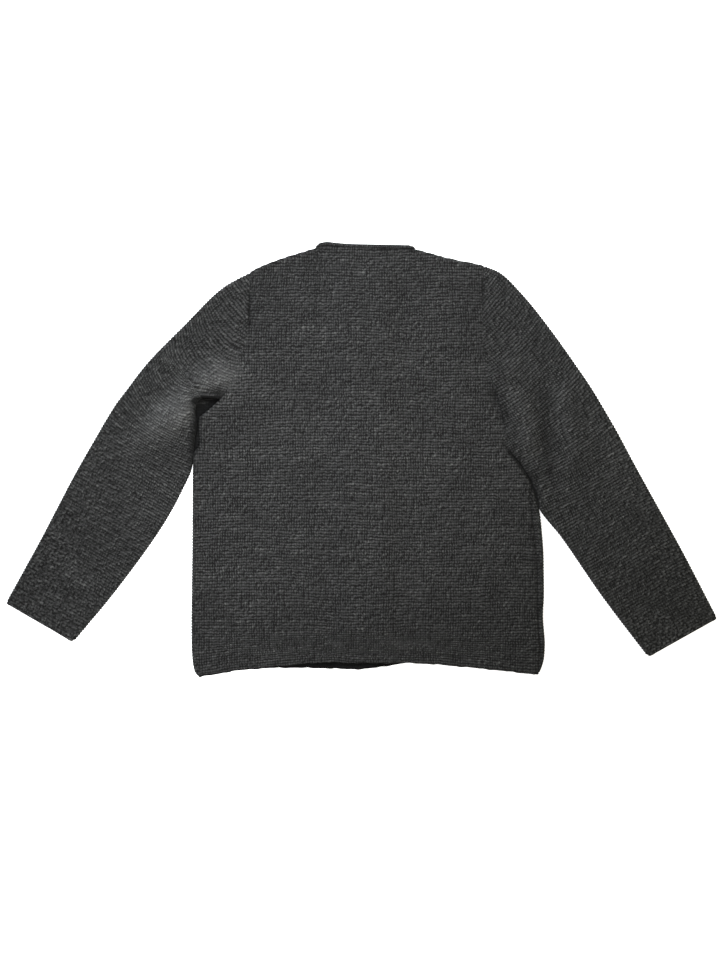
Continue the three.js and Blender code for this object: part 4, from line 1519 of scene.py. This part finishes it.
class CARDIGAN_OT_stage(bpy.types.Operator):
    """Make the pale table, the soft light and the camera above the garment"""

    bl_idname = "cardigan.stage"
    bl_label = "Stage"

    def execute(self, context):
        scene = context.scene
        settings = scene.cardigan
        bm = bmesh.new()
        bmesh.ops.create_grid(bm, x_segments=1, y_segments=1, size=TABLE_SIZE)
        bmesh.ops.translate(bm, verts=bm.verts, vec=(0, 0, -TABLE_DROP))
        mesh = bpy.data.meshes.new("table")
        bm.to_mesh(mesh)
        bm.free()
        table = link("table", mesh)
        mesh.materials.append(lit_table("lit_pale_table", "#f4f4f4", TABLE_GLOW))

        world = bpy.data.worlds.new("soft_room")
        scene.world = world
        world.use_nodes = True
        colour, strength = world.node_tree.nodes["Background"].inputs[:2]
        colour.default_value, strength.default_value = linear("#fffaee"), ROOM_LIGHT

        for name, place, size, share, colour in LIGHTS:
            light = bpy.data.lights.new(name, "AREA")
            light.shape = "RECTANGLE"
            light.size, light.size_y = size
            light.color = colour
            light.energy = settings.key_power * share
            lamp = bpy.data.objects.new(name, light)
            scene.collection.objects.link(lamp)
            lamp.location = place
            lamp.visible_camera = False
            lamp.rotation_mode = "QUATERNION"
            lamp.rotation_quaternion = (-Vector(place)).to_track_quat("-Z", "Y")

        # Straight above the photograph's middle
        camera = bpy.data.cameras.new("overhead")
        camera.sensor_width = SENSOR
        camera.lens = SENSOR * CAMERA_HEIGHT / (PHOTO_TALL * PIXEL * MM)
        eye = bpy.data.objects.new("overhead", camera)
        scene.collection.objects.link(eye)
        across, down = PHOTO_MIDDLE
        middle = np.array([(across - SEAM_PIXEL) * PIXEL, (HEM_PIXEL - down) * PIXEL, 0])
        x, y, _ = (middle + SHIFT) * MM
        eye.location = (x, y, CAMERA_HEIGHT + HIGH * MM)
        scene.camera = eye
        scene.view_settings.view_transform = "Standard"
        scene.view_settings.look = "None"
        return {"FINISHED"}


class CARDIGAN_PT_parts(bpy.types.Panel):
    """The cardigan's parts and settings"""

    bl_idname = "CARDIGAN_PT_parts"
    bl_label = "Cardigan"
    bl_space_type = "VIEW_3D"
    bl_region_type = "UI"
    bl_category = "Cardigan"

    def draw(self, context):
        settings = context.scene.cardigan
        for name in ("wall", "ridge_height", "wool", "wool_light", "horn", "key_power"):
            self.layout.prop(settings, name)
        for operator in OPERATORS:
            self.layout.operator(operator.bl_idname)


OPERATORS = (
    CARDIGAN_OT_neckband,
    CARDIGAN_OT_fronts,
    CARDIGAN_OT_backs,
    CARDIGAN_OT_sleeves,
    CARDIGAN_OT_buttons,
    CARDIGAN_OT_stage,
)
CLASSES = (CardiganSettings, *OPERATORS, CARDIGAN_PT_parts)


def register():
    for made in CLASSES:
        bpy.utils.register_class(made)
    bpy.types.Scene.cardigan = PointerProperty(type=CardiganSettings)


def unregister():
    del bpy.types.Scene.cardigan
    for made in reversed(CLASSES):
        bpy.utils.unregister_class(made)


def main():
    register()
    bpy.ops.cardigan.neckband()
    bpy.ops.cardigan.fronts()
    bpy.ops.cardigan.backs()
    bpy.ops.cardigan.sleeves()
    bpy.ops.cardigan.buttons()
    bpy.ops.cardigan.stage()


if __name__ == "__main__":
    main()
